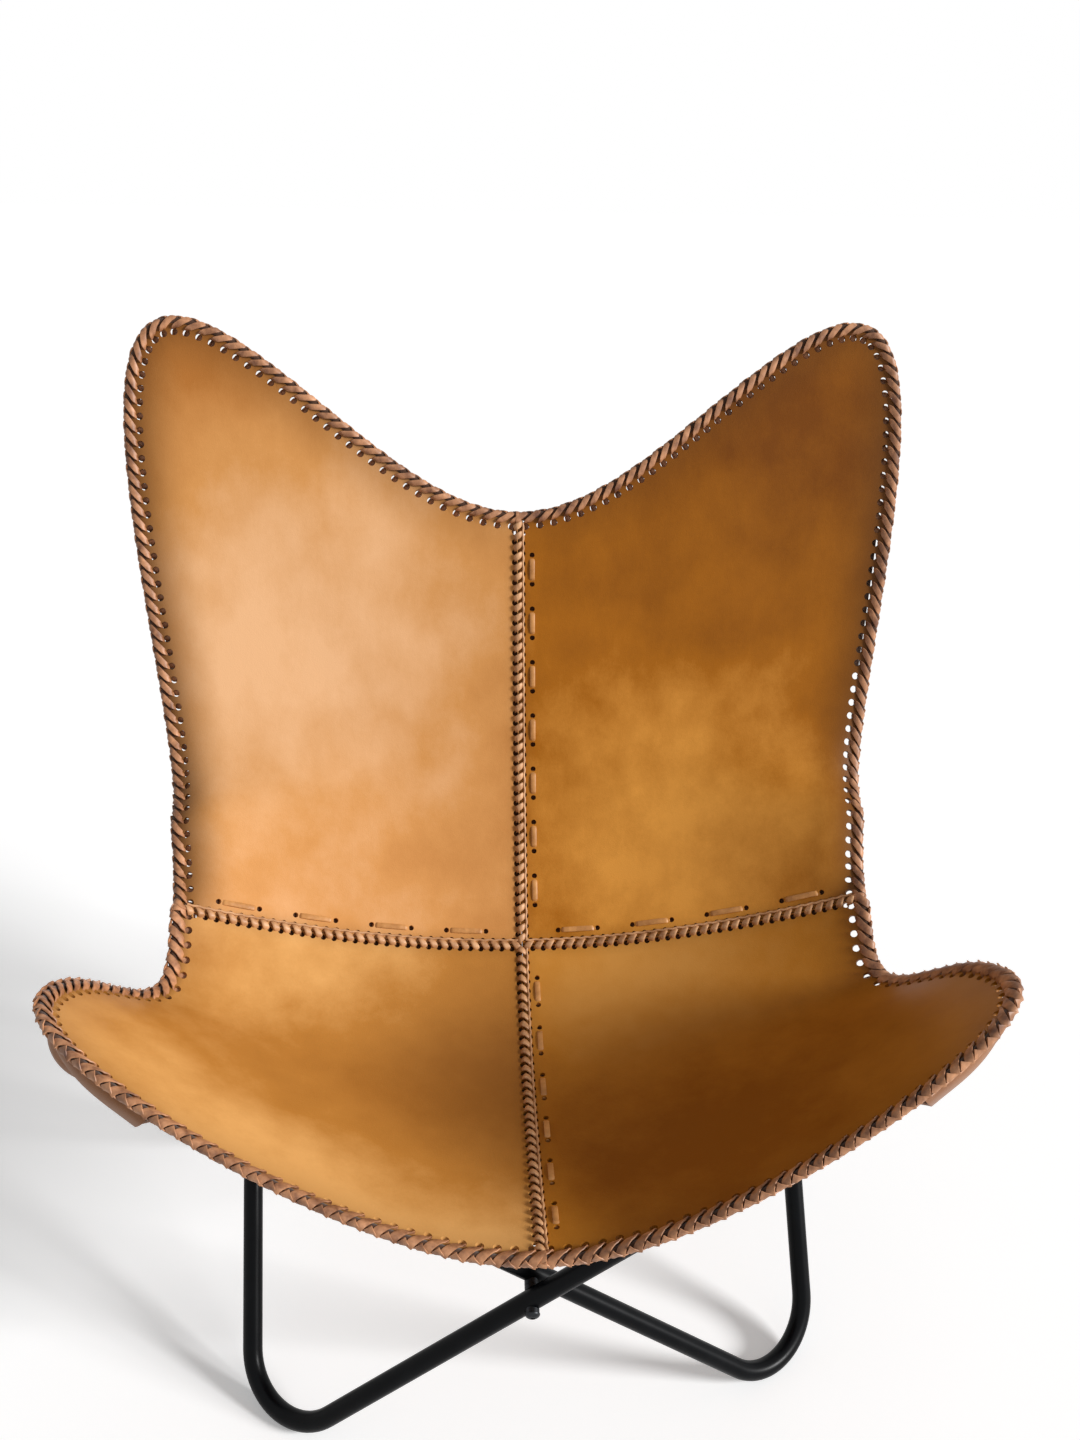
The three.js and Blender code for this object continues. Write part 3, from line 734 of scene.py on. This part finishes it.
def lifted(across, along, lift):
    across, along = np.broadcast_arrays(np.asarray(across, float), np.asarray(along, float))
    face = sling_face(across, along)
    return sling_point(across, along) + face * (roll_back(across, along) + lift)[..., None]


def quarter_place(side, end_way, out, end):
    """Rounds the outer corner of a quarter: out and end run from 0 at the seams to 1 at the edges."""
    power = (out ** CORNER_POWER + end ** CORNER_POWER) ** (1 / CORNER_POWER)
    pull = np.where(power > 0, np.maximum(out, end) / np.maximum(power, 1e-9), 1)
    return side * out * pull, 0.5 + 0.5 * end_way * end * pull


def quarter_length(end_way):
    return float(np.linalg.norm(sling_point(0, 0.5) - sling_point(0, 0.5 + 0.5 * end_way)))


def across_share(length):
    return length / CROSS_SEAM[0]


def end_share(length, end_way):
    return length / quarter_length(end_way)


def along_share(across, length):
    """A length from the cross seam, as a share of the way from front to top."""
    run = sling_point(across, 0.5 + SMALL_STEP) - sling_point(across, 0.5 - SMALL_STEP)
    return length * 2 * SMALL_STEP / np.linalg.norm(run, axis=-1)


print("back and seat from the cross seam", quarter_length(1), quarter_length(-1))

# %% [markdown]
# A rim or a seam is followed by its length in metres. At each place along it there is a way on, a way in
# across the leather and a way up, so that holes and lacing are set out with a ruler, as a maker would.
# Even steps in the surface's own shares would crowd together at the tips.

# %% ruled lines on the leather
HOLE_PITCH = 13 * MM
HOLE_INSET = 8.2 * MM
SEAM_PITCH = 9.8 * MM
SEAM_START = SEAM_PITCH * 0.35
# Running stitches: how far from the seam, and the lengths that show and that are hidden.
RUN_OFFSET = 13 * MM
MIDDLE_RUN = np.array([28, 24]) * MM
CROSS_RUN = np.array([38, 34]) * MM
RUN_FIRST = 1.6 * RUN_OFFSET
RUN_LEFT = 2.2 * HOLE_INSET
RIM_STEPS = 601
SEAM_STEPS = 301
INNER_STEP = 0.02


class Ruled:
    """A line on the sling, read by length: place, way on, way in and way up."""

    def __init__(self, places, inner, ups):
        steps = np.linalg.norm(np.diff(places, axis=0), axis=1)
        self.marks = np.concatenate([[0], np.cumsum(steps)])
        self.length = float(self.marks[-1])
        self.places = places
        self.ons = unit(np.gradient(places, axis=0))
        ins = inner - places
        self.ins = unit(ins - self.ons * (ins * self.ons).sum(-1, keepdims=True))
        square = np.cross(self.ons, self.ins)
        self.ups = square * np.sign((square * ups).sum(-1, keepdims=True))

    def read(self, values, s):
        return np.stack([np.interp(s, self.marks, values[:, k]) for k in range(3)], -1)

    def point(self, s, inward, up):
        """A place at a length along the line, set in from it and up off it."""
        s, inward, up = np.broadcast_arrays(np.asarray(s, float), inward, up)
        place = self.read(self.places, s)
        return place + self.read(self.ins, s) * inward[..., None] + self.read(self.ups, s) * up[..., None]

    def laid(self, s, inward, up, section):
        """A strip laid flat along the line."""
        return swept(self.point(s, inward, up), self.way(s, 0, 0, 1), section)

    def way(self, s, on, inward, up):
        s, on, inward, up = np.broadcast_arrays(np.asarray(s, float), on, inward, up)
        ways = self.read(self.ons, s) * on[..., None] + self.read(self.ins, s) * inward[..., None]
        return unit(ways + self.read(self.ups, s) * up[..., None])


def rim_line(side, end_way):
    """The outer edge of a quarter, from the cross seam round the tip to the middle seam."""
    t = np.linspace(0, 2, RIM_STEPS)
    out, end = np.minimum(1, 2 - t), np.minimum(1, t)
    place = quarter_place(side, end_way, out, end)
    inner = quarter_place(side, end_way, out * (1 - INNER_STEP), end * (1 - INNER_STEP))
    return Ruled(lifted(*place, 0), lifted(*inner, 0), sling_face(*place))


def seam_line(across, along, inner_across, inner_along):
    """A seam from the crossing outwards, with the small step that leads in from it."""
    across, along = np.broadcast_arrays(across, along)
    inner = lifted(across + inner_across, along + inner_along, 0)
    return Ruled(lifted(across, along, 0), inner, sling_face(across, along))


def marks_along(line, pitch, first, left):
    """Evenly set marks at about a pitch, with a length left at the end."""
    count = max(2, round((line.length - left - first) / pitch) + 1)
    return np.linspace(first, line.length - left, count)


def run_starts(line, run):
    shown, hidden = run
    room = line.length - RUN_LEFT - RUN_FIRST
    count = int((room - shown) // (shown + hidden)) + 1
    spare = room - (count - 1) * (shown + hidden) - shown
    return RUN_FIRST + spare / 2 + (shown + hidden) * np.arange(count)


outward = np.linspace(0, 1, SEAM_STEPS)
# A seam is named by where it leads from the crossing. In is to the right, or up the back.
SEAMS = {
    "back": seam_line(0.0, 0.5 + 0.5 * outward, INNER_STEP, 0),
    "seat": seam_line(0.0, 0.5 - 0.5 * outward, INNER_STEP, 0),
    "left": seam_line(-outward, 0.5, 0, INNER_STEP),
    "right": seam_line(outward, 0.5, 0, INNER_STEP),
}
RIMS = {name: rim_line(*way) for name, way in QUARTERS.items()}
RUNS = {"back": MIDDLE_RUN, "seat": MIDDLE_RUN, "left": CROSS_RUN, "right": CROSS_RUN}
RIM_ENDS = (HOLE_PITCH / 2, HOLE_PITCH / 2)
RIM_MARKS = {name: marks_along(rim, HOLE_PITCH, *RIM_ENDS) for name, rim in RIMS.items()}
SEAM_MARKS = {name: marks_along(line, SEAM_PITCH, SEAM_START, SEAM_PITCH) for name, line in SEAMS.items()}
RUN_STARTS = {name: run_starts(SEAMS[name], run) for name, run in RUNS.items()}
print("rim lengths", {name: round(rim.length, 3) for name, rim in RIMS.items()})

# %% [markdown]
# Each of the four hides is cut to its quarter and punched before it is laced: round holes inside the rim,
# beside each seam and for the running stitch. A texture could only paint them. These go right through, so
# light shows in them.

# %% punched hides
LEATHER = 3 * MM
HIDE_GAP = 0.8 * MM
HIDE_ROWS = 64
HIDE_COLUMNS = 72
HOLE_RADIUS = 3.4 * MM
SEAM_REACH = 3.1 * MM
SEAM_HOLE_RADIUS = 2.6 * MM
SEAM_HOLE_LAG = 3.4 * MM
SEAM_LEAN = 0.5
RUN_HOLE_RADIUS = 2.5 * MM
PUNCH_REACH = 8 * MM
PUNCH_SIDES = 12
BLEND_START = 20 * MM
BLEND_END = 250 * MM
# Bands darkened in colour: painted shade at the rolled sides of the back, wear under the lacing and at the
# seams.
SIDE_BAND = 52 * MM
SIDE_LEAST = 0.3
LACE_BAND = 15 * MM
SEAM_BAND = 16 * MM
SEAM_SHADE = 0.35
BAND_POWER = 1.5


def follow(piece, side):
    """Leather in the middle stays with the pivots. Other leather only has its placement baked into its
    points.
    """
    if side == 0:
        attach(piece, "pivots")
        return
    start, end = (side * BLEND_START, 0, 0), (side * BLEND_END, 0, 0)
    "right_loop" if side > 0 else "left_loop"
    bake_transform(piece)


def area_of(points):
    a, b, c, d = corners(points)
    return float(np.linalg.norm(np.cross(c - a, d - b), axis=-1).sum() / 2)


def declare_sheet(upper, lower):
    middle = (upper + lower) / 2
    area_of(middle)


def leather_piece(name, shape, material, side, node=None):
    piece = new_piece(name, *shape, material)
    if node:
        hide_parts(node)
    follow(piece, side)
    return piece


def punch_row(line, s, inward, radius):
    return prisms(line.point(s, inward, 0), line.way(s, 0, 0, 1), radius, PUNCH_REACH, PUNCH_SIDES)


def punches(name, side, end_way):
    row, hand = name.split("_")
    rows = [punch_row(RIMS[name], RIM_MARKS[name], HOLE_INSET, HOLE_RADIUS)]
    for seam, way in ((row, side), (hand, end_way)):
        marks = SEAM_MARKS[seam]
        s = marks - SEAM_HOLE_LAG if way < 0 else marks + SEAM_LEAN * SEAM_PITCH
        rows.append(punch_row(SEAMS[seam], s, way * (SEAM_REACH + MM), SEAM_HOLE_RADIUS))
    for seam, way in ((row, side), (hand, end_way)):
        if way > 0:
            ends = np.concatenate([RUN_STARTS[seam], RUN_STARTS[seam] + RUNS[seam][0]])
            rows.append(punch_row(SEAMS[seam], ends, RUN_OFFSET, RUN_HOLE_RADIUS))
    return joined(*rows)


def mark_edges(piece, name, end_way):
    """Writes how near each point is to an edge, which the shader darkens: painted shade at the back's rolled
    sides, wear elsewhere.
    """
    rim = RIMS[name]
    sides = np.linspace(2, 0, RIM_STEPS).clip(0, 1) if end_way > 0 else np.zeros(RIM_STEPS)
    # The sides of the back carry the painted shade of the rolled edge, fading towards the top.
    bands = [(rim, SIDE_BAND, SIDE_LEAST + (1 - SIDE_LEAST) * sides), (rim, LACE_BAND, np.ones(RIM_STEPS))]
    bands += [(SEAMS[seam], SEAM_BAND, np.full(SEAM_STEPS, SEAM_SHADE)) for seam in name.split("_")]
    points = np.array([v.co for v in piece.data.vertices])
    near = np.zeros(len(points))
    for line, reach, weight in bands:
        tree = KDTree(len(line.places))
        for i, place in enumerate(line.places):
            tree.insert(place, i)
        tree.balance()
        found = [tree.find(p) for p in points]
        gap = np.array([f[2] for f in found])
        share = weight[[f[1] for f in found]]
        near = np.maximum(near, share * np.clip(1 - gap / reach, 0, 1) ** BAND_POWER)
    piece.data.attributes.new("near_edge", "FLOAT", "POINT").data.foreach_set("value", near)


def hide(name, side, end_way):
    a = np.linspace(across_share(HIDE_GAP / 2), 1, HIDE_ROWS)[:, None]
    b = np.linspace(end_share(HIDE_GAP / 2, end_way), 1, HIDE_COLUMNS)[None, :]
    place = quarter_place(side, end_way, *np.broadcast_arrays(a, b))
    upper, lower = lifted(*place, LEATHER / 2), lifted(*place, -LEATHER / 2)
    if side * end_way < 0:
        upper, lower = upper[::-1], lower[::-1]
    piece = new_piece(f"{name}_hide", *sheet_solid(upper, lower), HIDES[name])
    piece.data.materials.append(FLESH)
    one_face = (HIDE_ROWS - 1) * (HIDE_COLUMNS - 1)
    for polygon in piece.data.polygons[one_face:2 * one_face]:
        polygon.material_index = 1
    cut(piece, *punches(name, side, end_way))
    mark_edges(piece, name, end_way)
    even = piece.modifiers.new("even shading", "WEIGHTED_NORMAL")
    even.keep_sharp = True
    follow(piece, side)
    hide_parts(f"{name}_panel")
    declare_sheet(upper, lower)
    return piece


hides = [hide(name, *way) for name, way in QUARTERS.items()]
print("hides", {piece.name: len(piece.data.polygons) for piece in hides})

# %% [markdown]
# Under each tip a pocket of thinner leather, laced in with the rim, takes the bent tube. It could be
# draped over the tube, but the sling's own surface, only lowered, follows the rim exactly.

# %% tip pockets
POCKET_LEATHER = 2 * MM
POCKET_ROWS = 48
POCKET_SLACK = 11 * MM
POCKET_FLARE = {"back": 0.52, "seat": 0.285}
POCKET_ROUND = 18 * MM
POCKET_FRONT_ROUND = 34 * MM
MOUTH_EASE = 0.6
POCKET_LENGTH = {"back": 115 * MM, "seat": 120 * MM}
POCKET_LIP = 20 * MM
POCKET_INSET = 4 * MM


def pocket(name, side, end_way):
    row = name.split("_")[0]
    length, flare = POCKET_LENGTH[row], POCKET_FLARE[row]
    mouth_out, mouth_end = 1 - across_share(length), 1 - end_share(length, end_way)
    lip_out, lip_end = mouth_out + across_share(POCKET_LIP), mouth_end + end_share(POCKET_LIP, end_way)
    rim_out, rim_end = 1 - across_share(POCKET_INSET), 1 - end_share(POCKET_INSET, end_way)
    a = np.linspace(0, 1, POCKET_ROWS)[:, None]
    b = np.sqrt(np.linspace(0, 1, POCKET_ROWS // 2))[None, :]
    inner_out, inner_end = rim_out + (mouth_out - rim_out) * a, mouth_end + (rim_end - mouth_end) * a
    outer_out = np.where(a < 0.5, rim_out, rim_out + (lip_out - rim_out) * (2 * a - 1))
    outer_end = np.where(a < 0.5, lip_end + (rim_end - lip_end) * 2 * a, rim_end)
    out = inner_out + (outer_out - inner_out) * b
    end = inner_end + (outer_end - inner_end) * b
    from_side, from_end = (rim_out - out) * CROSS_SEAM[0], (rim_end - end) * quarter_length(end_way)
    # A seat pocket's roof runs up to the front edge more and more gently towards its mouth.
    end_round = POCKET_ROUND if end_way > 0 else POCKET_FRONT_ROUND * (1 + MOUTH_EASE * (1 - b ** 2) ** 2)
    edge = 1 - np.clip(np.minimum(from_side / POCKET_ROUND, from_end / end_round), 0, 1)
    # The mouth of a back pocket opens both ways, that of a seat pocket only away from the front edge.
    away = np.maximum(from_side, from_end) if end_way > 0 else from_end
    room = TUBE_OUTSIDE + POCKET_SLACK + flare * away
    drop = LEATHER / 2 + 2 * CLEARANCE + room * np.sqrt(1 - edge ** 2)
    place = quarter_place(side, end_way, out, end)
    upper, lower = lifted(*place, -drop), lifted(*place, -drop - POCKET_LEATHER)
    if side * end_way > 0:
        upper, lower = upper[::-1], lower[::-1]
    shape, node = sheet_solid(upper, lower), f"{name}_pocket"
    piece = leather_piece(f"{name}_tip_pocket", shape, FLESH, side, node)
    declare_sheet(upper, lower)
    return piece


pockets = [pocket(name, *way) for name, way in QUARTERS.items()]
print("tip pockets", [piece.name for piece in pockets])

# %% [markdown]
# The rim is laced with two flat thongs, one worked from each face, over a cord along the cut edge, coloured
# dark as painted shade in the gaps.
# The legs lean along the rim and shingle like an ear of wheat. One thong could be wound through all the
# holes, but one leg, drawn once and set at every hole, is easier to shape.

# %% edge lacing
THONG_WIDTH = {"back": 5.6 * MM, "seat": 7 * MM}
THONG_THICK = 1.8 * MM
CORE_WIDTH = 7 * MM
CORE_THICK = 6 * MM
CORE_OUT = 2.2 * MM
LEG_STEPS = 15
LEG_TILT = 0.3
LEG_WOBBLE = 0.3 * MM
WOBBLE_TURN = 2.4
LEG_SPREAD = {"back": 0.8, "seat": 1.15}
# One leg at shares of its length: lean along the rim in pitches, in from the edge and up off the hide.
LEG_SHARES = [0, 0.1, 0.22, 0.45, 0.65, 0.82, 0.94, 1]
FACE_LEG = (
    [0, 0.03, 0.14, 0.48, 0.76, 0.98, 1.08, 1.12],
    np.array([4.5, 4.5, 3.4, 0.4, -3.0, -5.6, -6.7, -6.3]) * MM,
    np.array([-1.2, 1.6, 2.9, 3.7, 3.6, 2.3, 0.2, -1.8]) * MM,
)
# Behind the hide a leg starts further in, across the hole, which is why most holes look dark.
BACK_LEG = (
    [0, 0, 0, 0.05, 0.5, 1.05, 1.45, 1.62],
    np.array([15.0, 14.0, 12.5, 7.0, 0, -4.6, -6.7, -6.3]) * MM,
    np.array([2.5, 2.7, 2.8, 3.3, 3.6, 2.3, 0.2, -1.8]) * MM,
)
# Along these lengths from the cross seam the thong is pulled aside and daylight shows through the holes.
OPEN_HOLES = {"back_right": 0.36, "seat_right": 0.07}
OPEN_LATE = 0.5


def legs(rim, starts, lean_pitch, face, leg, spread, width, late):
    """One row of legs on a face of the hide. A negative lean_pitch leans them back along the rim."""
    shares = np.linspace(0, 1, LEG_STEPS)
    lean, inward, rise = (np.interp(shares, LEG_SHARES, run) for run in leg)
    inward = np.where(inward < 0, inward * spread, inward)
    out_ways, up_ways = np.gradient(rise), -np.gradient(inward)
    length = np.hypot(out_ways, up_ways)
    s = np.clip(starts[:, None] + lean_pitch * (lean + late * shares)[None], 0, rim.length)
    wobble = LEG_WOBBLE * np.sin(np.arange(len(starts)) * WOBBLE_TURN + face)
    paths = rim.point(s, inward[None] + wobble[:, None], face * rise[None])
    ups = rim.way(s, LEG_TILT * np.sign(lean_pitch), out_ways / length, face * up_ways / length)
    return swept(paths, ups, rounded_section(width, THONG_THICK))


def edge_lacing(name, side, end_way):
    rim, marks = RIMS[name], RIM_MARKS[name]
    pitch = float(marks[1] - marks[0])
    clockwise = -side * end_way
    extra = marks[0] - pitch if clockwise > 0 else marks[-1] + pitch
    starts = np.append(marks, extra)
    row = name.split("_")[0]
    spread, width = LEG_SPREAD[row], THONG_WIDTH[row]
    daylight = starts < OPEN_HOLES.get(name, 0)
    parts = [legs(rim, starts, clockwise * pitch, 1, FACE_LEG, spread, width, 0.0)]
    for chosen, leg, late in ((daylight, FACE_LEG, OPEN_LATE), (~daylight, BACK_LEG, 0.0)):
        if chosen.any():
            parts.append(legs(rim, starts[chosen], clockwise * pitch, -1, leg, spread, width, late))
    shown = sum(len(faces) for _, faces in parts)
    s = np.linspace(0, rim.length, 4 * len(marks))[None]
    section = rounded_section(CORE_WIDTH, CORE_THICK, 12, 2.2)
    shape, node = joined(*parts, rim.laid(s, -CORE_OUT, 0, section)), f"{name}_edge_lace"
    piece = leather_piece(f"{name}_edge_lacing", shape, EDGE_LACE, side, node)
    # The cord takes the dark strip colour, painted shade in the gaps between the legs.
    piece.data.materials.append(STAINED_SHADED_STRIP)
    for polygon in piece.data.polygons[shown:]:
        polygon.material_index = 1


for name, way in QUARTERS.items():
    edge_lacing(name, *way)
print("edge lacing, holes round each rim", {name: len(marks) for name, marks in RIM_MARKS.items()})

# %% [markdown]
# The seams are closed with a chain of short stitches. Each leans over the joint and is held under the
# next, which leaves a scalloped edge with dark holes between the lobes, and a thin cord lies along the
# far side. A bump map would look flat from the side, so every stitch is a small sweep.

# %% seam lacing
BACKING_LEATHER = 2 * MM
SEAM_THONG_WIDTH = 6 * MM
SEAM_THONG_THICK = 2.8 * MM
RIDGE_RADIUS = 1.1 * MM
RIDGE_WAVE = 0.35 * MM
RIDGE_STEPS = 8
# One stitch at shares of its length: across the seam in reaches, and up off the hide.
STITCH_STEPS = 13
STITCH_IN_SHARES = [0, 0.1, 1]
STITCH_IN = [-1, -1.12, 1]
STITCH_SHARES = [0, 0.1, 0.28, 0.6, 0.85, 1]
STITCH_UP = np.array([-0.6, 1.9, 3.5, 3.7, 2.6, 0.2]) * MM
STITCH_TILT = 0.3
STITCH_STEEPEST = 1.2
# The end of a running stitch, in dips from its hole.
RUN_WIDTH = 5 * MM
RUN_DIP = RUN_HOLE_RADIUS * 1.1
RUN_END = [0.6, 1, 2, 4]
RUN_SHOULDER = 0.8
RUN_CROWN = 1.05
RUN_STEPS = 100


def seam_stitches(line, marks):
    shares = np.linspace(0, 1, STITCH_STEPS)
    inward = np.interp(shares, STITCH_IN_SHARES, STITCH_IN) * SEAM_REACH
    rise = np.interp(shares, STITCH_SHARES, STITCH_UP)
    s = np.clip(marks[:, None] + SEAM_LEAN * SEAM_PITCH * shares[None], 0, line.length)
    paths = line.point(s, inward[None], rise[None])
    slope = np.clip(np.gradient(rise) / np.gradient(inward), -STITCH_STEEPEST, STITCH_STEEPEST)
    ups = line.way(s, -STITCH_TILT, -slope[None], 1.0)
    stitches = swept(paths, ups, rounded_section(SEAM_THONG_WIDTH, SEAM_THONG_THICK, 14, 2.4))
    s = np.linspace(marks[0], marks[-1] + SEAM_PITCH / 2, RIDGE_STEPS * len(marks))[None]
    wave = RIDGE_WAVE * np.sin(s / SEAM_PITCH * 2 * np.pi)
    section = rounded_section(2 * RIDGE_RADIUS, 2 * RIDGE_RADIUS, 10, 2.0)
    ridge = line.laid(s, SEAM_REACH + RIDGE_RADIUS + wave, LEATHER / 2 + RIDGE_RADIUS, section)
    return joined(stitches, ridge)


def running_thong(line, starts, shown):
    """A thong that shows in long stitches and runs on under the strip behind the seam."""
    under = -(LEATHER / 2 + BACKING_LEATHER + 2 * CLEARANCE + THONG_THICK / 2)
    over = LEATHER / 2 + THONG_THICK / 2
    rise = [under, 0, over * RUN_SHOULDER, over * RUN_CROWN]
    s, up = [], []
    for start in starts:
        s += [start + dips * RUN_DIP for dips in RUN_END]
        s += [start + shown - dips * RUN_DIP for dips in reversed(RUN_END)]
        up += rise + rise[::-1]
    fine = np.linspace(s[0], s[-1], RUN_STEPS * len(starts))[None]
    return line.laid(fine, RUN_OFFSET, np.interp(fine, s, up), rounded_section(RUN_WIDTH, THONG_THICK))


for name, line in SEAMS.items():
    side = {"left": -1, "right": 1}.get(name, 0)
    kind, node = ("cross", f"{name}_cross_seam_lace") if side else ("seam", f"{name}_seam_lace")
    chain = seam_stitches(line, SEAM_MARKS[name])
    leather_piece(f"{name}_{kind}_lacing", chain, SEAM_LACE, side, node)
    thong = running_thong(line, RUN_STARTS[name], RUNS[name][0])
    leather_piece(f"{name}_running_thong", thong, RUN_LACE, side)
print("seam stitches", {name: len(marks) for name, marks in SEAM_MARKS.items()})

# %% [markdown]
# Behind each seam a strip of leather, flesh side out, takes the pull off the stitches. Without it the
# holes would show the floor. Its dark stain is partly painted shade seen in the holes. It lies on the
# sling's own surface, just under the hides, so it follows every curve.

# %% backing strips
BACKING_WIDTH = 34 * MM
STRIP_ROWS = 90
STRIP_COLUMNS = 9


def strip(name, across, along, side):
    top = -LEATHER / 2 - CLEARANCE
    upper, lower = lifted(across, along, top), lifted(across, along, top - BACKING_LEATHER)
    shape, node = sheet_solid(upper, lower), f"{name}_backing"
    piece = leather_piece(f"{name}_strip", shape, STAINED_SHADED_STRIP, side, node)
    declare_sheet(upper, lower)


strip_half = across_share(BACKING_WIDTH / 2)
for row, end_way in (("back", 1), ("seat", -1)):
    first = along_share(0, BACKING_WIDTH / 2 + CLEARANCE)
    last = 0.5 * end_share(quarter_length(end_way) - 2 * HOLE_INSET, end_way)
    span = sorted([0.5 + end_way * first, 0.5 + end_way * last])
    across = np.linspace(-strip_half, strip_half, STRIP_COLUMNS)[:, None]
    along = np.linspace(*span, STRIP_ROWS)[None, :]
    strip(f"{row}_seam", across, along, 0)
for hand, side in (("left", -1), ("right", 1)):
    span = sorted([side * across_share(CLEARANCE / 2), side * (1 - strip_half)])
    across = np.linspace(*span, STRIP_ROWS)[:, None]
    along = 0.5 + along_share(across, BACKING_WIDTH / 2) * np.linspace(-1, 1, STRIP_COLUMNS)[None, :]
    strip(f"{hand}_cross_seam", across, along, side)
print("backing strips behind", list(SEAMS))

# %% [markdown]
# The chair stands on a plain pale floor in soft studio light. The key comes low from the right and in
# front, so the left wing is bright and the right one deep cognac. A sun keeps that angle all over the
# chair, where a near lamp would not.

# %% stage and light
FLOOR_HALF = 12.0
KEY_ELEVATION = math.radians(23)
KEY_AZIMUTH = math.radians(68)
KEY_STRENGTH = 4.0
KEY_SOFTNESS = math.radians(15)
SKY_STRENGTH = 0.28
FLOOR_GLOW = 0.26
BLACK = (0, 0, 0, 1)
WHITE = (1, 1, 1, 1)


def seen_directly(value):
    """One for rays from the camera and for mirrored or refracted ones, else zero."""
    kinds = ("Is Camera Ray", "Is Glossy Ray", "Is Transmission Ray")
    camera_ray, glossy_ray, through_ray = (value.node("ShaderNodeLightPath", None, kind) for kind in kinds)
    return (camera_ray + glossy_ray + through_ray).clamp()


def floor_recipe(place):
    grain = place.noise(3.0, 2.0)
    return {
        "Base Color": grain.mix(colour(251, 251, 251), colour(254, 254, 254)),
        "Roughness": 0.85 + grain * 0.1,
        "Specular IOR Level": 0.0,
        "Emission Color": seen_directly(place).mix(BLACK, WHITE),
        "Emission Strength": FLOOR_GLOW,
    }


def floor():
    square = np.array([(-1, -1, 0), (1, -1, 0), (1, 1, 0), (-1, 1, 0)]) * FLOOR_HALF
    piece = new_piece("studio_floor", square, [[0, 1, 2, 3]], new_material("pale floor", floor_recipe))


def sky():
    world = bpy.data.worlds.new("studio")
    world.use_nodes = True
    world.node_tree.nodes.clear()
    bench = Wire(world.node_tree)
    soft = bench.node("ShaderNodeBackground", {"Color": WHITE, "Strength": SKY_STRENGTH})
    white = bench.node("ShaderNodeBackground", {"Color": WHITE, "Strength": 1.0})
    shader = bench.node("ShaderNodeMixShader", {0: seen_directly(bench), 1: soft, 2: white})
    bench.node("ShaderNodeOutputWorld", {"Surface": shader})
    bpy.context.scene.world = world


def key_light():
    light = bpy.data.lights.new("key", "SUN")
    light.energy = KEY_STRENGTH
    light.angle = KEY_SOFTNESS
    lamp = bpy.data.objects.new("key", light)
    flat = math.cos(KEY_ELEVATION)
    towards = Vector((flat * math.sin(KEY_AZIMUTH), -flat * math.cos(KEY_AZIMUTH), math.sin(KEY_ELEVATION)))
    lamp.rotation_euler = towards.to_track_quat("Z", "Y").to_euler()
    bpy.context.scene.collection.objects.link(lamp)


floor()
sky()
key_light()
print("floor half width", FLOOR_HALF, "and key strength", KEY_STRENGTH)

# %% [markdown]
# The camera stands where the photographer did, a little above the chair and looking down. It could be
# placed by eye, but lining the feet, seams, tips and edges up with the photograph is closer.

# %% camera
CAMERA_PLACE = (-0.0531, -0.9777, 1.1053)
CAMERA_PITCH = math.radians(26.389)
CAMERA_YAW = math.radians(3.724)
CAMERA_ROLL = math.radians(-1.232)
FOCAL_SHARE = 1287.64 / 1440
SENSOR = 36.0


def camera():
    data = bpy.data.cameras.new("camera")
    data.sensor_width = SENSOR
    data.lens = SENSOR * FOCAL_SHARE
    piece = bpy.data.objects.new("camera", data)
    flat = math.cos(CAMERA_PITCH)
    ahead = Vector((math.sin(CAMERA_YAW) * flat, math.cos(CAMERA_YAW) * flat, -math.sin(CAMERA_PITCH)))
    right = Vector((math.cos(CAMERA_YAW), -math.sin(CAMERA_YAW), 0))
    down = ahead.cross(right)
    tilted = right * math.cos(CAMERA_ROLL) + down * math.sin(CAMERA_ROLL)
    up = right * math.sin(CAMERA_ROLL) - down * math.cos(CAMERA_ROLL)
    turn = Matrix((tilted, up, -ahead)).transposed().to_4x4()
    piece.matrix_world = Matrix.Translation(CAMERA_PLACE) @ turn
    bpy.context.scene.collection.objects.link(piece)
    bpy.context.scene.camera = piece


camera()
bpy.context.scene.view_settings.view_transform = "Standard"
print("camera at", CAMERA_PLACE)
